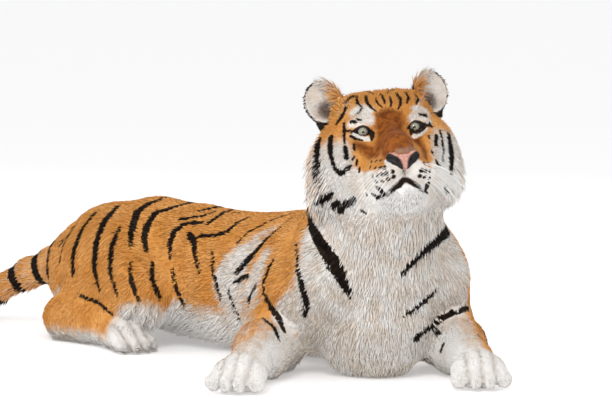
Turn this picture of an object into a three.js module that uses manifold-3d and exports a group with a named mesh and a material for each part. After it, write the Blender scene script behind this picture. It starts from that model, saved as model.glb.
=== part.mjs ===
// A life-size Siberian tiger, lying on its belly with its head raised and its forelegs spread.
// Millimetres, +Z up. The origin is on the floor, in the flat patch where the chest rests.
// The hindquarters lie along -X. The forequarters turn towards -Y, and the head turns a little further.
//
// The body is one smooth field, blended from bones and muscle masses. Each named part is sculpted from
// that field at its own fineness, and is then cut free of its neighbours by a thin gap.
import * as THREE from "three";
import { mergeVertices } from "three/addons/utils/BufferGeometryUtils.js";
import Module from "manifold-3d";

const wasm = await Module();
wasm.setup();

// ---------------------------------------------------------------- driving sizes

const GAP = 0.35; // between touching parts
const DEG = Math.PI / 180;

const CHEST_YAW = -30 * DEG; // the forequarters' heading
const HEAD_YAW = -40 * DEG;
const HEAD_PITCH = 15 * DEG;
const HEAD_ROLL = 5 * DEG;
const EYE_HEIGHT = 601; // of the point between the eyes
const EYE_REACH = 130; // of that point, forward of the origin
const SPINE_Y = 152; // how far the hindquarters' midline lies to the left
const RIB_HEIGHT = 372;
const BACK_HEIGHT = 356;
const HIP_HEIGHT = 377;

const EYE_RADIUS = 19;
const EYE_SPREAD = 61.5; // from the midline to each eye
const EYE_SET = -9; // the eyeball's centre, behind the point between the eyes
const NOSE_REACH = 150; // from the eyes to the nose's front
const NOSE_DROP = 100; // from the eyes down to the nose's middle
const MOUTH_DROP = 143;
const CHIN_DROP = 206;
const CROWN_RISE = 115;
const EAR_SPREAD = 131;
const EAR_RISE = 96;
const EAR_SET = -98;
const EAR_WIDTH = 94;
const EAR_LENGTH = 122;

const COAT = {
  orange: { color: 0xc9742c, roughness: 0.85, metalness: 0 },
  white: { color: 0xe9e2d6, roughness: 0.88, metalness: 0 },
  tail: { color: 0xc58a4e, roughness: 0.85, metalness: 0 },
  nose: { color: 0xc98074, roughness: 0.45, metalness: 0 },
  eye: { color: 0xa8a37c, roughness: 0.08, metalness: 0 },
};

// ---------------------------------------------------------------- frames of reference

const v3 = (x, y, z) => new THREE.Vector3(x, y, z);

// A frame has an origin and three axes: forward, left and up.
function frameAt(origin, yaw, pitch = 0, roll = 0) {
  const turn = new THREE.Matrix4().makeRotationFromEuler(new THREE.Euler(roll, -pitch, yaw, "ZYX"));
  const frame = turn.setPosition(origin);
  const inverse = frame.clone().invert();
  return {
    matrix: frame,
    point: (x, y, z) => v3(x, y, z).applyMatrix4(frame),
    direction: (x, y, z) => v3(x, y, z).transformDirection(frame),
    local: (p) => p.clone().applyMatrix4(inverse),
  };
}

const chest = frameAt(v3(0, 0, 0), CHEST_YAW);
const head = frameAt(chest.point(EYE_REACH, -15, EYE_HEIGHT), HEAD_YAW, HEAD_PITCH, HEAD_ROLL);
const hind = frameAt(v3(0, SPINE_Y, 0), 0);

// ---------------------------------------------------------------- the field's building blocks

// A bone is a rod between two points, whose radius runs from one value to the other.
function bone(a, b, ra, rb) {
  const along = b.clone().sub(a);
  const lengthSquared = along.lengthSq();
  return (p) => {
    const dx = p.x - a.x;
    const dy = p.y - a.y;
    const dz = p.z - a.z;
    const share = (dx * along.x + dy * along.y + dz * along.z) / lengthSquared;
    const t = Math.min(1, Math.max(0, share));
    const distance = Math.hypot(dx - along.x * t, dy - along.y * t, dz - along.z * t);
    return distance - ra - (rb - ra) * t;
  };
}

// A mass is an ellipsoid in a frame of its own.
function mass(frame, centre, radii) {
  const inverse = frame.matrix.clone().invert();
  const e = inverse.elements;
  const [cx, cy, cz] = centre;
  const [rx, ry, rz] = radii;
  return (p) => {
    const x = e[0] * p.x + e[4] * p.y + e[8] * p.z + e[12] - cx;
    const y = e[1] * p.x + e[5] * p.y + e[9] * p.z + e[13] - cy;
    const z = e[2] * p.x + e[6] * p.y + e[10] * p.z + e[14] - cz;
    const k0 = Math.hypot(x / rx, y / ry, z / rz);
    const k1 = Math.hypot(x / (rx * rx), y / (ry * ry), z / (rz * rz));
    return k1 < 1e-9 ? -Math.min(rx, ry, rz) : (k0 * (k0 - 1)) / k1;
  };
}

const meet = (a, b, soft) => {
  const h = Math.max(soft - Math.abs(a - b), 0) / soft;
  return Math.min(a, b) - (h * h * soft) / 4;
};

function blend(soft, masses) {
  return (p) => masses.reduce((sum, m) => meet(sum, m(p), soft), 1e6);
}

// ---------------------------------------------------------------- the tiger's masses

const SIDES = [
  ["right", -1],
  ["left", 1],
];

// Torso, from the chest's front to the rump: [place, height of the back, radius].
const SPINE = [
  [chest.point(-50, 0, 0), 366, 164],
  [chest.point(-200, 0, 0), 386, 186],
  [v3(-371, SPINE_Y, 0), RIB_HEIGHT, 184],
  [v3(-560, SPINE_Y + 4, 0), BACK_HEIGHT, 177],
  [v3(-730, SPINE_Y + 2, 0), BACK_HEIGHT + 10, 174],
  [v3(-880, SPINE_Y, 0), HIP_HEIGHT, 172],
  [v3(-1010, SPINE_Y - 3, 0), HIP_HEIGHT - 20, 158],
  [v3(-1085, SPINE_Y - 5, 0), HIP_HEIGHT - 60, 140],
  [v3(-1130, SPINE_Y - 6, 0), HIP_HEIGHT - 108, 118],
];
const spineCentre = ([place, height, radius]) => place.clone().setZ(height - radius);
const torsoBones = SPINE.slice(1).map((next, i) =>
  bone(spineCentre(SPINE[i]), spineCentre(next), SPINE[i][2], next[2]),
);
const shoulderBlades = SIDES.map(([, side]) =>
  bone(chest.point(-165, side * 64, 352), chest.point(-20, side * 128, 280), 60, 92),
);
const spine = blend(10, torsoBones);
const torso = (p) => meet(spine(p), blend(30, shoulderBlades)(p), 60);

const breast = blend(60, [
  mass(chest, [50, 0, 170], [95, 120, 150]),
  mass(chest, [-20, 0, 110], [120, 150, 130]),
]);

// The neck carries the mane of the throat, so it is nearly as wide as the chest.
const neck = blend(80, [
  bone(chest.point(-70, 0, 320), chest.point(5, 0, 420), 150, 146),
  bone(chest.point(5, 0, 420), head.point(-95, 0, -45), 140, 112),
  bone(chest.point(45, 0, 300), head.point(-15, 0, -150), 118, 82),
]);

// Forelegs: the elbows rest on the floor and the forearms lie forward of them.
const FORELEG = {
  right: { elbow: [-140, -212, 84], wrist: [108, -350, 58], toes: [222, -428, 34] },
  left: { elbow: [-100, 204, 84], wrist: [206, 168, 58], toes: [342, 142, 34] },
};

function foreleg(name, side) {
  const { elbow, wrist, toes } = FORELEG[name];
  const shoulder = chest.point(0, side * 138, 232);
  const joints = {
    shoulder,
    elbow: chest.point(...elbow),
    wrist: chest.point(...wrist),
    toes: chest.point(...toes),
  };
  const arm = blend(45, [
    bone(shoulder, joints.elbow, 102, 78),
    bone(joints.elbow, joints.wrist.clone().lerp(joints.elbow, 0.5), 78, 72),
    bone(joints.wrist.clone().lerp(joints.elbow, 0.5), joints.wrist, 70, 55),
  ]);
  return { joints, arm, paw: paw(joints.wrist, joints.toes, 1.1) };
}

// A paw: the pad's mass, and four toes side by side, the middle two longest.
function paw(wrist, toes, scale) {
  const heading = toes.clone().sub(wrist).setZ(0).normalize();
  const yaw = Math.atan2(heading.y, heading.x);
  const frame = frameAt(v3(toes.x, toes.y, 0), yaw);
  const reach = wrist.distanceTo(toes);
  const toeSpread = 31 * scale;
  const toeMasses = [-1.5, -0.5, 0.5, 1.5].map((place) => {
    const outer = Math.abs(place) > 1;
    const back = outer ? -16 * scale : 0;
    const root = frame.point(-52 * scale, place * toeSpread * 0.8, 40 * scale);
    const tip = frame.point(back, place * toeSpread, 25 * scale);
    return bone(root, tip, 24 * scale, 22.5 * scale);
  });
  const knuckles = mass(frame, [-58 * scale, 0, 36 * scale], [46 * scale, 56 * scale, 36 * scale]);
  const instep = bone(wrist, frame.point(-reach * 0.45, 0, 42 * scale), 48 * scale, 45 * scale);
  return blend(15, [blend(30, [instep, knuckles]), blend(8, toeMasses)]);
}

// Hind legs: folded at the flank, the thigh upright on its side and the long foot flat on the floor.
const HINDLEG = {
  hip: [-975, 88, 236],
  knee: [-752, 186, 152],
  hock: [-1040, 190, 62],
  toes: [-700, 256, 32],
};

function hindleg(side) {
  const at = ([x, y, z]) => hind.point(x, side * y, z);
  const joints = Object.fromEntries(Object.entries(HINDLEG).map(([k, p]) => [k, at(p)]));
  const instep = joints.hock.clone().lerp(joints.toes, 0.62).setZ(46);
  const leg = blend(60, [
    bone(joints.hip, joints.knee, 116, 86),
    mass(hind, [-900, side * 160, 178], [160, 84, 150]),
    bone(joints.knee, joints.hock, 76, 50),
    bone(joints.hock, instep, 46, 42),
  ]);
  return { joints, leg, instep, paw: paw(instep, joints.toes, 0.93) };
}

const forelegs = Object.fromEntries(SIDES.map(([name, side]) => [name, foreleg(name, side)]));
const hindlegs = Object.fromEntries(SIDES.map(([name, side]) => [name, hindleg(side)]));

// Tail: it leaves the rump high, sinks to the floor and curls to the right.
const TAIL = [
  [-1112, SPINE_Y - 6, 196, 92],
  [-1180, SPINE_Y - 9, 186, 74],
  [-1250, SPINE_Y - 14, 170, 55],
  [-1340, SPINE_Y - 24, 144, 43],
  [-1450, SPINE_Y - 40, 94, 40],
  [-1560, SPINE_Y - 64, 50, 39],
  [-1680, SPINE_Y - 106, 36, 39],
  [-1790, SPINE_Y - 168, 36, 38],
  [-1880, SPINE_Y - 250, 35, 37],
  [-1930, SPINE_Y - 345, 33, 35],
  [-1945, SPINE_Y - 430, 30, 32],
  [-1944, SPINE_Y - 462, 28, 20],
];
const tailLine = TAIL.map(([x, y, z]) => v3(x, y, z));
const tail = blend(
  24,
  TAIL.slice(1).map(([, , , radius], i) => bone(tailLine[i], tailLine[i + 1], TAIL[i][3], radius)),
);

// ---------------------------------------------------------------- head

const inHead = (x, y, z) => head.point(x, y, z);
const bothSides = (make) => SIDES.flatMap(([, side]) => make(side));
const headBone = (a, b, ra, rb) => bone(inHead(...a), inHead(...b), ra, rb);
const headMass = (centre, radii) => mass(head, centre, radii);

const cranium = blend(34, [
  headBone([-92, -42, CROWN_RISE - 86], [-92, 42, CROWN_RISE - 86], 86, 86),
  headMass([-38, 0, 22], [56, 92, 50]),
  ...bothSides((side) => [
    headMass([-62, side * 90, -46], [68, 50, 64]),
    headBone([-84, side * 78, -100], [-22, side * 58, -150], 62, 38),
  ]),
]);

const bridge = blend(22, [
  headBone([-14, 0, 0], [80, 0, -62], 38, 35),
  headBone([80, 0, -62], [NOSE_REACH - 31, 0, -NOSE_DROP + 6], 36, 29),
  ...bothSides((side) => [headBone([-14, side * 46, -64], [70, side * 36, -106], 36, 34)]),
]);

const whiskerPads = blend(
  12,
  bothSides((side) => [
    headMass([95, side * 36, -NOSE_DROP - 22], [46, 37, 33]),
    headMass([68, side * 50, -NOSE_DROP - 27], [46, 33, 34]),
  ]),
);

const browsAndLowerLids = blend(
  16,
  bothSides((side) => [
    headBone([6, side * 40, 26], [-22, side * 88, 24], 16, 14),
    headBone([4, side * 46, -25], [-24, side * 84, -24], 13, 12),
  ]),
);

const lowerJaw = blend(24, [
  headMass([97, 0, -CHIN_DROP + 37], [33, 40, 37]),
  headBone([-40, 0, -156], [84, 0, -CHIN_DROP + 40], 56, 36),
  ...bothSides((side) => [headBone([-40, side * 42, -146], [70, side * 26, -170], 42, 28)]),
]);

const upperHead = (p) => {
  const skull = meet(meet(cranium(p), bridge(p), 30), browsAndLowerLids(p), 14);
  return meet(skull, whiskerPads(p), 14);
};

const headField = (p) => meet(upperHead(p), lowerJaw(p), 12);

// ---------------------------------------------------------------- the whole body

const body = (p) => {
  let d = meet(torso(p), breast(p), 60);
  for (const [name] of SIDES) {
    d = meet(d, meet(forelegs[name].arm(p), forelegs[name].paw(p), 24), 34);
    d = meet(d, meet(hindlegs[name].leg(p), hindlegs[name].paw(p), 20), 44);
  }
  d = meet(d, tail(p), 46);
  return meet(d, neck(p), 70);
};
const whole = (p) => meet(body(p), headField(p), 40);

// ---------------------------------------------------------------- from field to mesh

// Surface nets: one vertex in each cell that the surface crosses, moved onto the surface inside its
// cell, so that no two faces cross. A cell is a box, so it can be long where a limb is long. A cutter
// is the same net with each vertex moved outwards by `grow`.
function sculpt(field, low, high, cell, grow = 0) {
  const size = high.clone().sub(low).divide(cell).ceil().addScalar(2);
  const [nx, ny, nz] = [size.x, size.y, size.z];
  const index = (i, j, k) => (k * ny + j) * nx + i;
  const value = new Float32Array(nx * ny * nz).fill(1);
  const at = (i, j, k) => v3(i, j, k).multiply(cell).add(low);
  const shortest = Math.min(cell.x, cell.y, cell.z);
  for (let k = 1; k < nz - 1; k++)
    for (let j = 1; j < ny - 1; j++)
      for (let i = 1; i < nx - 1; i++) value[index(i, j, k)] = field(at(i, j, k));
  while (fillPinches(value, index, [nx, ny, nz]));
  const vertices = [];
  const cellVertex = new Int32Array(nx * ny * nz).fill(-1);
  for (let k = 0; k < nz - 1; k++)
    for (let j = 0; j < ny - 1; j++)
      for (let i = 0; i < nx - 1; i++) {
        const crossing = cellCrossing(value, index, i, j, k);
        if (!crossing) continue;
        const p = at(i, j, k).add(crossing.multiply(cell));
        const onEdge = [i, j, k].some((n, axis) => n < 1 || n > [nx, ny, nz][axis] - 3);
        if (!onEdge) settle(p, field, shortest);
        p.clamp(at(i, j, k), at(i + 1, j + 1, k + 1));
        cellVertex[index(i, j, k)] = vertices.length;
        vertices.push(p);
      }
  const faces = netFaces(value, index, cellVertex, vertices, [nx, ny, nz]);
  if (grow) vertices.forEach((p) => p.addScaledVector(slopeAt(p, field, shortest * 0.1).normalize(), grow));
  return geometryOf(vertices, faces);
}

const AXES = [
  [1, 0, 0],
  [0, 1, 0],
  [0, 0, 1],
];

// Where only two opposite corners of a grid square are inside, two sheets would touch along an edge.
// A third corner is taken inside there. Returns true while there was such a square.
function fillPinches(value, index, [nx, ny, nz]) {
  let found = false;
  for (let k = 1; k < nz - 2; k++)
    for (let j = 1; j < ny - 2; j++)
      for (let i = 1; i < nx - 2; i++)
        AXES.forEach((_, axis) => {
          const u = AXES[(axis + 1) % 3];
          const w = AXES[(axis + 2) % 3];
          const at = (a, b) =>
            index(i + a * u[0] + b * w[0], j + a * u[1] + b * w[1], k + a * u[2] + b * w[2]);
          const ring = [at(0, 0), at(1, 0), at(1, 1), at(0, 1)];
          const inside = ring.map((n) => value[n] < 0);
          if (inside[0] !== inside[2] || inside[1] !== inside[3] || inside[0] === inside[1]) return;
          const outer = ring.filter((_, n) => !inside[n]);
          const nearest = value[outer[0]] < value[outer[1]] ? outer[0] : outer[1];
          value[nearest] = -0.05;
          found = true;
        });
  return found;
}

// The mean of the points where the surface crosses a cell's edges, or null where it doesn't.
function cellCrossing(value, index, i, j, k) {
  const corner = (n) => value[index(i + (n & 1), j + ((n >> 1) & 1), k + ((n >> 2) & 1))];
  const sum = v3(0, 0, 0);
  let count = 0;
  for (let n = 0; n < 8; n++)
    for (const bit of [1, 2, 4]) {
      if (n & bit) continue;
      const [a, b] = [corner(n), corner(n | bit)];
      if (a < 0 === b < 0) continue;
      const t = a / (a - b);
      sum.x += (n & 1) + (bit === 1 ? t : 0);
      sum.y += ((n >> 1) & 1) + (bit === 2 ? t : 0);
      sum.z += ((n >> 2) & 1) + (bit === 4 ? t : 0);
      count++;
    }
  return count ? sum.divideScalar(count) : null;
}

const slopeAt = (p, field, step) =>
  v3(
    field(v3(p.x + step, p.y, p.z)) - field(v3(p.x - step, p.y, p.z)),
    field(v3(p.x, p.y + step, p.z)) - field(v3(p.x, p.y - step, p.z)),
    field(v3(p.x, p.y, p.z + step)) - field(v3(p.x, p.y, p.z - step)),
  ).divideScalar(2 * step);

// Moves p down the field's slope until it lies on the surface.
function settle(p, field, cell) {
  for (let n = 0; n < 3; n++) {
    const slope = slopeAt(p, field, cell * 0.1);
    const move = -field(p) / Math.max(slope.lengthSq(), 0.2);
    p.addScaledVector(slope, THREE.MathUtils.clamp(move, -cell * 0.35, cell * 0.35));
  }
}

// A quad round each grid edge that the surface crosses, split along its shorter diagonal.
function netFaces(value, index, cellVertex, vertices, [nx, ny, nz]) {
  const faces = [];
  for (let k = 0; k < nz - 1; k++)
    for (let j = 0; j < ny - 1; j++)
      for (let i = 0; i < nx - 1; i++)
        AXES.forEach((step, axis) => {
          const here = value[index(i, j, k)] < 0;
          const there = value[index(i + step[0], j + step[1], k + step[2])] < 0;
          if (here === there) return;
          const u = AXES[(axis + 1) % 3];
          const w = AXES[(axis + 2) % 3];
          const at = (a, b) =>
            cellVertex[index(i - a * u[0] - b * w[0], j - a * u[1] - b * w[1], k - a * u[2] - b * w[2])];
          const quad = [at(0, 0), at(1, 0), at(1, 1), at(0, 1)];
          if (!here) quad.reverse();
          const [a, b, c, d] = quad;
          const short = vertices[a].distanceTo(vertices[c]) < vertices[b].distanceTo(vertices[d]);
          faces.push(...(short ? [a, b, c, a, c, d] : [a, b, d, b, c, d]));
        });
  return faces;
}

function geometryOf(vertices, faces) {
  const geometry = new THREE.BufferGeometry().setFromPoints(vertices);
  return geometry.setIndex(faces);
}

// ---------------------------------------------------------------- joining and cutting

function solid(geometry, matrix = new THREE.Matrix4()) {
  const bare = geometry.clone();
  for (const name of ["normal", "uv"]) bare.deleteAttribute(name);
  const merged = mergeVertices(bare.applyMatrix4(matrix), 1e-3);
  return new wasm.Manifold(
    new wasm.Mesh({
      numProp: 3,
      vertProperties: new Float32Array(merged.attributes.position.array),
      triVerts: new Uint32Array(merged.index.array),
    }),
  );
}

const largest = (made) => made.decompose().reduce((a, b) => (a.volume() > b.volume() ? a : b));
const joined = (solids) => solids.reduce((sum, s) => sum.add(s));
const without = (made, cutters) => cutters.reduce((left, c) => left.subtract(c), made);

// Keeps what lies past a plane through a point, on the side that its normal points to.
const pastPlane = (made, normal, point, gap = GAP / 2) => {
  const n = normal.clone().normalize();
  return made.trimByPlane([n.x, n.y, n.z], n.dot(point) + gap);
};
const beforePlane = (made, normal, point, gap = GAP / 2) =>
  pastPlane(made, normal.clone().negate(), point, gap);
const onFloor = (made) => made.trimByPlane([0, 0, 1], 0);

// A pill-shaped cutter round a limb, from a to b.
function pill(a, b, radius, grow = 0) {
  const along = b.clone().sub(a);
  const shape = new THREE.CapsuleGeometry(radius + grow, along.length(), 5, 16);
  const turn = new THREE.Quaternion().setFromUnitVectors(v3(0, 1, 0), along.clone().normalize());
  const middle = a.clone().add(b).multiplyScalar(0.5);
  return solid(shape, new THREE.Matrix4().compose(middle, turn, v3(1, 1, 1)));
}

// An egg-shaped solid in a frame.
function egg(frame, centre, radii, grow = 0, segments = [20, 12]) {
  const shape = new THREE.SphereGeometry(1, ...segments);
  const sizes = radii.map((r) => r + grow);
  const place = new THREE.Matrix4().makeTranslation(...centre).scale(v3(...sizes));
  return solid(shape, frame.matrix.clone().multiply(place));
}

const BELOW_FLOOR = 60; // how far down the field is sculpted before it is trimmed at the floor

function boxAround(points, margin) {
  const box = new THREE.Box3().setFromPoints(points).expandByScalar(margin);
  box.min.z = Math.max(box.min.z, -BELOW_FLOOR);
  return box;
}

const sculptBox = (points, margin, cell, field = whole, grow = 0) => {
  const box = boxAround(points, margin);
  const cells = Array.isArray(cell) ? v3(...cell) : v3(cell, cell, cell);
  return solid(sculpt(field, box.min, box.max, cells, grow));
};

// ---------------------------------------------------------------- parts

const group = new THREE.Group();

const WELD = 0.02; // vertices that a cut leaves closer than this become one

// The solid's triangles with such vertices joined, and without the triangles that this closes up.
function welded(made) {
  const mesh = made.getMesh();
  const position = [];
  const known = new Map();
  const renumbered = Array.from({ length: mesh.numVert }, (_, i) => {
    const start = i * mesh.numProp;
    const place = Array.from(mesh.vertProperties.subarray(start, start + 3));
    const key = place.map((x) => Math.round(x / WELD)).join();
    if (!known.has(key)) {
      known.set(key, known.size);
      position.push(...place);
    }
    return known.get(key);
  });
  const triangles = new Map();
  for (let i = 0; i < mesh.numTri; i++) {
    const corners = Array.from(mesh.triVerts.subarray(i * 3, i * 3 + 3), (n) => renumbered[n]);
    if (new Set(corners).size < 3) continue;
    const key = corners.toSorted((m, n) => m - n).join();
    if (triangles.has(key)) triangles.delete(key);
    else triangles.set(key, corners);
  }
  const geometry = new THREE.BufferGeometry();
  geometry.setAttribute("position", new THREE.Float32BufferAttribute(position, 3));
  return geometry.setIndex([...triangles.values()].flat());
}

function addPart(name, made, finish) {
  const geometry = welded(largest(made));
  geometry.computeVertexNormals();
  const part = new THREE.Mesh(geometry, new THREE.MeshStandardMaterial(finish));
  part.name = name;
  group.add(part);
}

// Planes that part the trunk.
const throatPlane = { normal: head.direction(0.8, 0, 0.6), point: inHead(-86, 0, -104) };
const collarPlane = { normal: chest.direction(0.5, 0, 0.866), point: chest.point(-30, 0, 318) };
const ribPlane = { normal: v3(1, 0, 0), point: v3(-470, 0, 0) };
const loinPlane = { normal: v3(1, 0, 0), point: v3(-800, 0, 0) };
const rumpPlane = { normal: v3(1, 0, -0.3), point: v3(-1172, 0, 190) };

// Forelegs.
const armCutters = [];
for (const [name, side] of SIDES) {
  const { shoulder, elbow, wrist, toes } = forelegs[name].joints;
  const armTop = shoulder.clone().add(chest.direction(0, side, 0).multiplyScalar(34));
  const armRegion = (grow) => pill(armTop, elbow, 114, grow);
  const reachOut = wrist.clone().sub(elbow).setZ(0).normalize();
  const elbowFold = { normal: reachOut, point: elbow.clone().addScaledVector(reachOut, 70) };
  const wristFold = { normal: reachOut, point: wrist.clone().addScaledVector(reachOut, -8) };
  const foreRegion = (grow) => pill(elbow, wrist.clone().addScaledVector(reachOut, 40), 98, grow);

  const arm = onFloor(sculptBox([armTop, elbow], 124, 42)).intersect(armRegion(0));
  addPart(`upper_arm_${name}`, beforePlane(arm, elbowFold.normal, elbowFold.point), COAT.orange);

  const fore = onFloor(sculptBox([elbow, wrist], 104, 34)).intersect(foreRegion(0));
  const foreAhead = pastPlane(fore, elbowFold.normal, elbowFold.point);
  addPart(`forearm_${name}`, beforePlane(foreAhead, wristFold.normal, wristFold.point), COAT.orange);

  const pawSolid = onFloor(sculptBox([wrist, toes], 92, 23));
  addPart(`paw_front_${name}`, pastPlane(pawSolid, wristFold.normal, wristFold.point), COAT.white);

  const armPocket = beforePlane(armRegion(GAP), elbowFold.normal, elbowFold.point, -GAP);
  armCutters.push(armPocket, pastPlane(foreRegion(GAP), elbowFold.normal, elbowFold.point, -GAP));
  armCutters.push(pastPlane(pill(wrist, toes, 110), wristFold.normal, wristFold.point, -GAP));
}

// Hind legs.
const legCutters = [];
for (const [name, side] of SIDES) {
  const { knee, hock, toes } = hindlegs[name].joints;
  const { instep } = hindlegs[name];
  const thighCentre = [-852, side * 204, 186];
  const thighRegion = (grow) => egg(hind, thighCentre, [236, 122, 214], grow, [20, 12]);
  const footTop = instep.clone().setZ(14);
  const footRegion = (grow) => pill(hock.clone().setZ(10), footTop, 84, grow);
  const heading = toes.clone().sub(instep).setZ(0).normalize();
  const footFold = { normal: heading, point: instep.clone().addScaledVector(heading, 12) };
  const pawRegion = (grow) => pill(footTop, toes.clone().setZ(20), 92, grow);

  const pawSolid = onFloor(sculptBox([instep, toes], 84, 22)).intersect(pawRegion(0));
  addPart(`paw_hind_${name}`, pastPlane(pawSolid, footFold.normal, footFold.point), COAT.white);
  const pawPocket = pastPlane(pawRegion(GAP), footFold.normal, footFold.point, -GAP);

  const foot = onFloor(sculptBox([hock, instep], 92, [46, 30, 30])).intersect(footRegion(0));
  addPart(`hind_foot_${name}`, without(foot, [pawPocket]), COAT.orange);

  const thighBox = sculptBox([hind.point(...thighCentre), knee], 240, [68, 54, 54]);
  const thigh = onFloor(thighBox).intersect(thighRegion(0));
  addPart(`thigh_${name}`, without(thigh, [pawPocket, footRegion(GAP)]), COAT.orange);
  legCutters.push(thighRegion(GAP), footRegion(GAP), pawPocket);
}

// Trunk.
const trunkCorners = [v3(-1300, -160, 0), v3(200, 420, 440)];
const trunkSolid = (grow) => sculptBox(trunkCorners, 30, [76, 56, 56], body, grow);
const trunk = onFloor(trunkSolid(0));
const trunkFree = without(trunk, [...armCutters, ...legCutters]);
const trunkFront = beforePlane(trunkFree, collarPlane.normal, collarPlane.point);
const thorax = pastPlane(trunkFront, ribPlane.normal, ribPlane.point);
addPart("thorax", thorax, COAT.orange);
const belly = beforePlane(trunkFree, ribPlane.normal, ribPlane.point);
addPart("abdomen", pastPlane(belly, loinPlane.normal, loinPlane.point), COAT.orange);
const pelvis = beforePlane(trunkFree, loinPlane.normal, loinPlane.point);
addPart("pelvis", pastPlane(pelvis, rumpPlane.normal, rumpPlane.point), COAT.orange);

// A round tube along a chain of points, with a radius for each.
function tube(points, radii, steps, sides) {
  const curve = new THREE.CatmullRomCurve3(points);
  const vertices = [];
  for (let n = 0; n <= steps; n++) {
    const place = (n / steps) * (radii.length - 1);
    const from = Math.min(Math.floor(place), radii.length - 2);
    const radius = THREE.MathUtils.lerp(radii[from], radii[from + 1], place - from);
    const tangent = curve.getTangent(n / steps);
    const side = tangent.clone().cross(v3(0, 0, 1)).normalize();
    const up = side.clone().cross(tangent);
    for (let k = 0; k < sides; k++) {
      const angle = (2 * Math.PI * k) / sides;
      const offset = side.clone().multiplyScalar(Math.cos(angle)).addScaledVector(up, Math.sin(angle));
      vertices.push(curve.getPoint(n / steps).addScaledVector(offset, radius));
    }
  }
  const [first, last] = [vertices.length, vertices.length + 1];
  vertices.push(points[0].clone(), points.at(-1).clone());
  const faces = [];
  for (let k = 0; k < sides; k++) {
    const next = (k + 1) % sides;
    faces.push(first, k, next, last, steps * sides + next, steps * sides + k);
    for (let n = 0; n < steps; n++) {
      const [a, b] = [n * sides + k, n * sides + next];
      faces.push(a, a + sides, b + sides, a, b + sides, b);
    }
  }
  return solid(geometryOf(vertices, faces));
}

// Tail, in four lengths.
const TAIL_CUTS = [3, 5, 7];
const TAIL_SIDES = 10;
const TAIL_STEPS = 30;
const tailRadii = TAIL.map(([, , , radius]) => radius);
const tailSolid = onFloor(tube(tailLine, tailRadii, TAIL_STEPS, TAIL_SIDES));
const tailFree = beforePlane(tailSolid, rumpPlane.normal, rumpPlane.point);
const cutAt = (n) => ({ normal: tailLine[n + 1].clone().sub(tailLine[n - 1]).setZ(0), point: tailLine[n] });
[0, ...TAIL_CUTS].forEach((from, n, starts) => {
  let length = tailFree;
  if (from) length = pastPlane(length, cutAt(from).normal, cutAt(from).point);
  const to = starts[n + 1];
  if (to) length = beforePlane(length, cutAt(to).normal, cutAt(to).point);
  addPart(`tail_${n + 1}`, length, COAT.tail);
});

// ---------------------------------------------------------------- locks of long hair

const LOCK_STATIONS = [
  [0, 0.9],
  [0.4, 1],
  [0.74, 0.6],
];

// A lock: flat, tapered and bent. Its root, the way it sets off, the way it bends to, and its broad side.
function lock({ root, heading, bend, out, length, width, thickness }) {
  const middle = root.clone().addScaledVector(heading, length / 2);
  const tip = middle.clone().addScaledVector(bend, length / 2);
  const curve = new THREE.QuadraticBezierCurve3(root, middle, tip);
  const vertices = LOCK_STATIONS.flatMap(([t, share]) => {
    const tangent = curve.getTangent(t);
    const side = tangent.clone().cross(out).normalize();
    const over = side.clone().cross(tangent);
    side.multiplyScalar((width / 2) * share);
    over.multiplyScalar((thickness / 2) * share);
    const ring = [side, over.clone().negate(), side.clone().negate(), over];
    return ring.map((offset) => curve.getPoint(t).add(offset));
  });
  const tipIndex = vertices.push(tip) - 1;
  const faces = [0, 2, 1, 0, 3, 2];
  LOCK_STATIONS.forEach((_, ring) => {
    for (let n = 0; n < 4; n++) {
      const [a, b] = [ring * 4 + n, ring * 4 + ((n + 1) % 4)];
      if (ring === LOCK_STATIONS.length - 1) faces.push(a, b, tipIndex);
      else faces.push(a, b, b + 4, a, b + 4, a + 4);
    }
  });
  return solid(geometryOf(vertices, faces));
}

// A small repeatable scatter between -1 and 1, so that no two locks are alike.
const scatter = (n) => (Math.sin(n * 12.9898) + Math.sin(n * 4.1414)) / 2;

// Neck.
const neckPoints = [chest.point(-160, 0, 300), chest.point(110, 0, 330), inHead(-60, 0, -60)];
const neckSolid = (grow) => sculptBox(neckPoints, 190, 50, whole, grow);
const neckAbove = without(pastPlane(neckSolid(0), collarPlane.normal, collarPlane.point), armCutters);
const neckCore = beforePlane(neckAbove, throatPlane.normal, throatPlane.point);

// The point where the surface lies, from a point inside it along a direction.
function surfaceFrom(inside, direction) {
  const p = inside.clone();
  for (let n = 0; n < 24; n++) p.addScaledVector(direction, -whole(p));
  return p;
}

// The long hair of the throat hangs in tiers over the front of the neck.
const MANE = {
  tiers: [424, 362],
  perTier: 8,
  spread: 84 * DEG,
  length: 112,
  width: 66,
  thickness: 17,
  sink: 17,
};

function throatLocks() {
  const axis = (height) => chest.point(10 + (height - 320) * 0.1, 0, height);
  return MANE.tiers.flatMap((height, tier) =>
    Array.from({ length: MANE.perTier }, (_, n) => {
      const seed = tier * 17 + n;
      const share = (n + 0.5 * (tier % 2) + 0.25) / (MANE.perTier - 0.25) - 0.5;
      const angle = 2 * MANE.spread * share + 0.05 * scatter(seed);
      const out = chest.direction(Math.cos(angle), Math.sin(angle), 0);
      const root = surfaceFrom(axis(height + 9 * scatter(seed + 3)), out).addScaledVector(out, -MANE.sink);
      const heading = out.clone().multiplyScalar(0.36).add(v3(0, 0, -1)).normalize();
      const bend = out.clone().multiplyScalar(0.2).add(v3(0, 0, -1)).normalize();
      const length = MANE.length * (1 + 0.16 * scatter(seed + 40));
      return lock({ ...MANE, root, heading, bend, out, length });
    }),
  );
}

// ---------------------------------------------------------------- head parts

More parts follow.
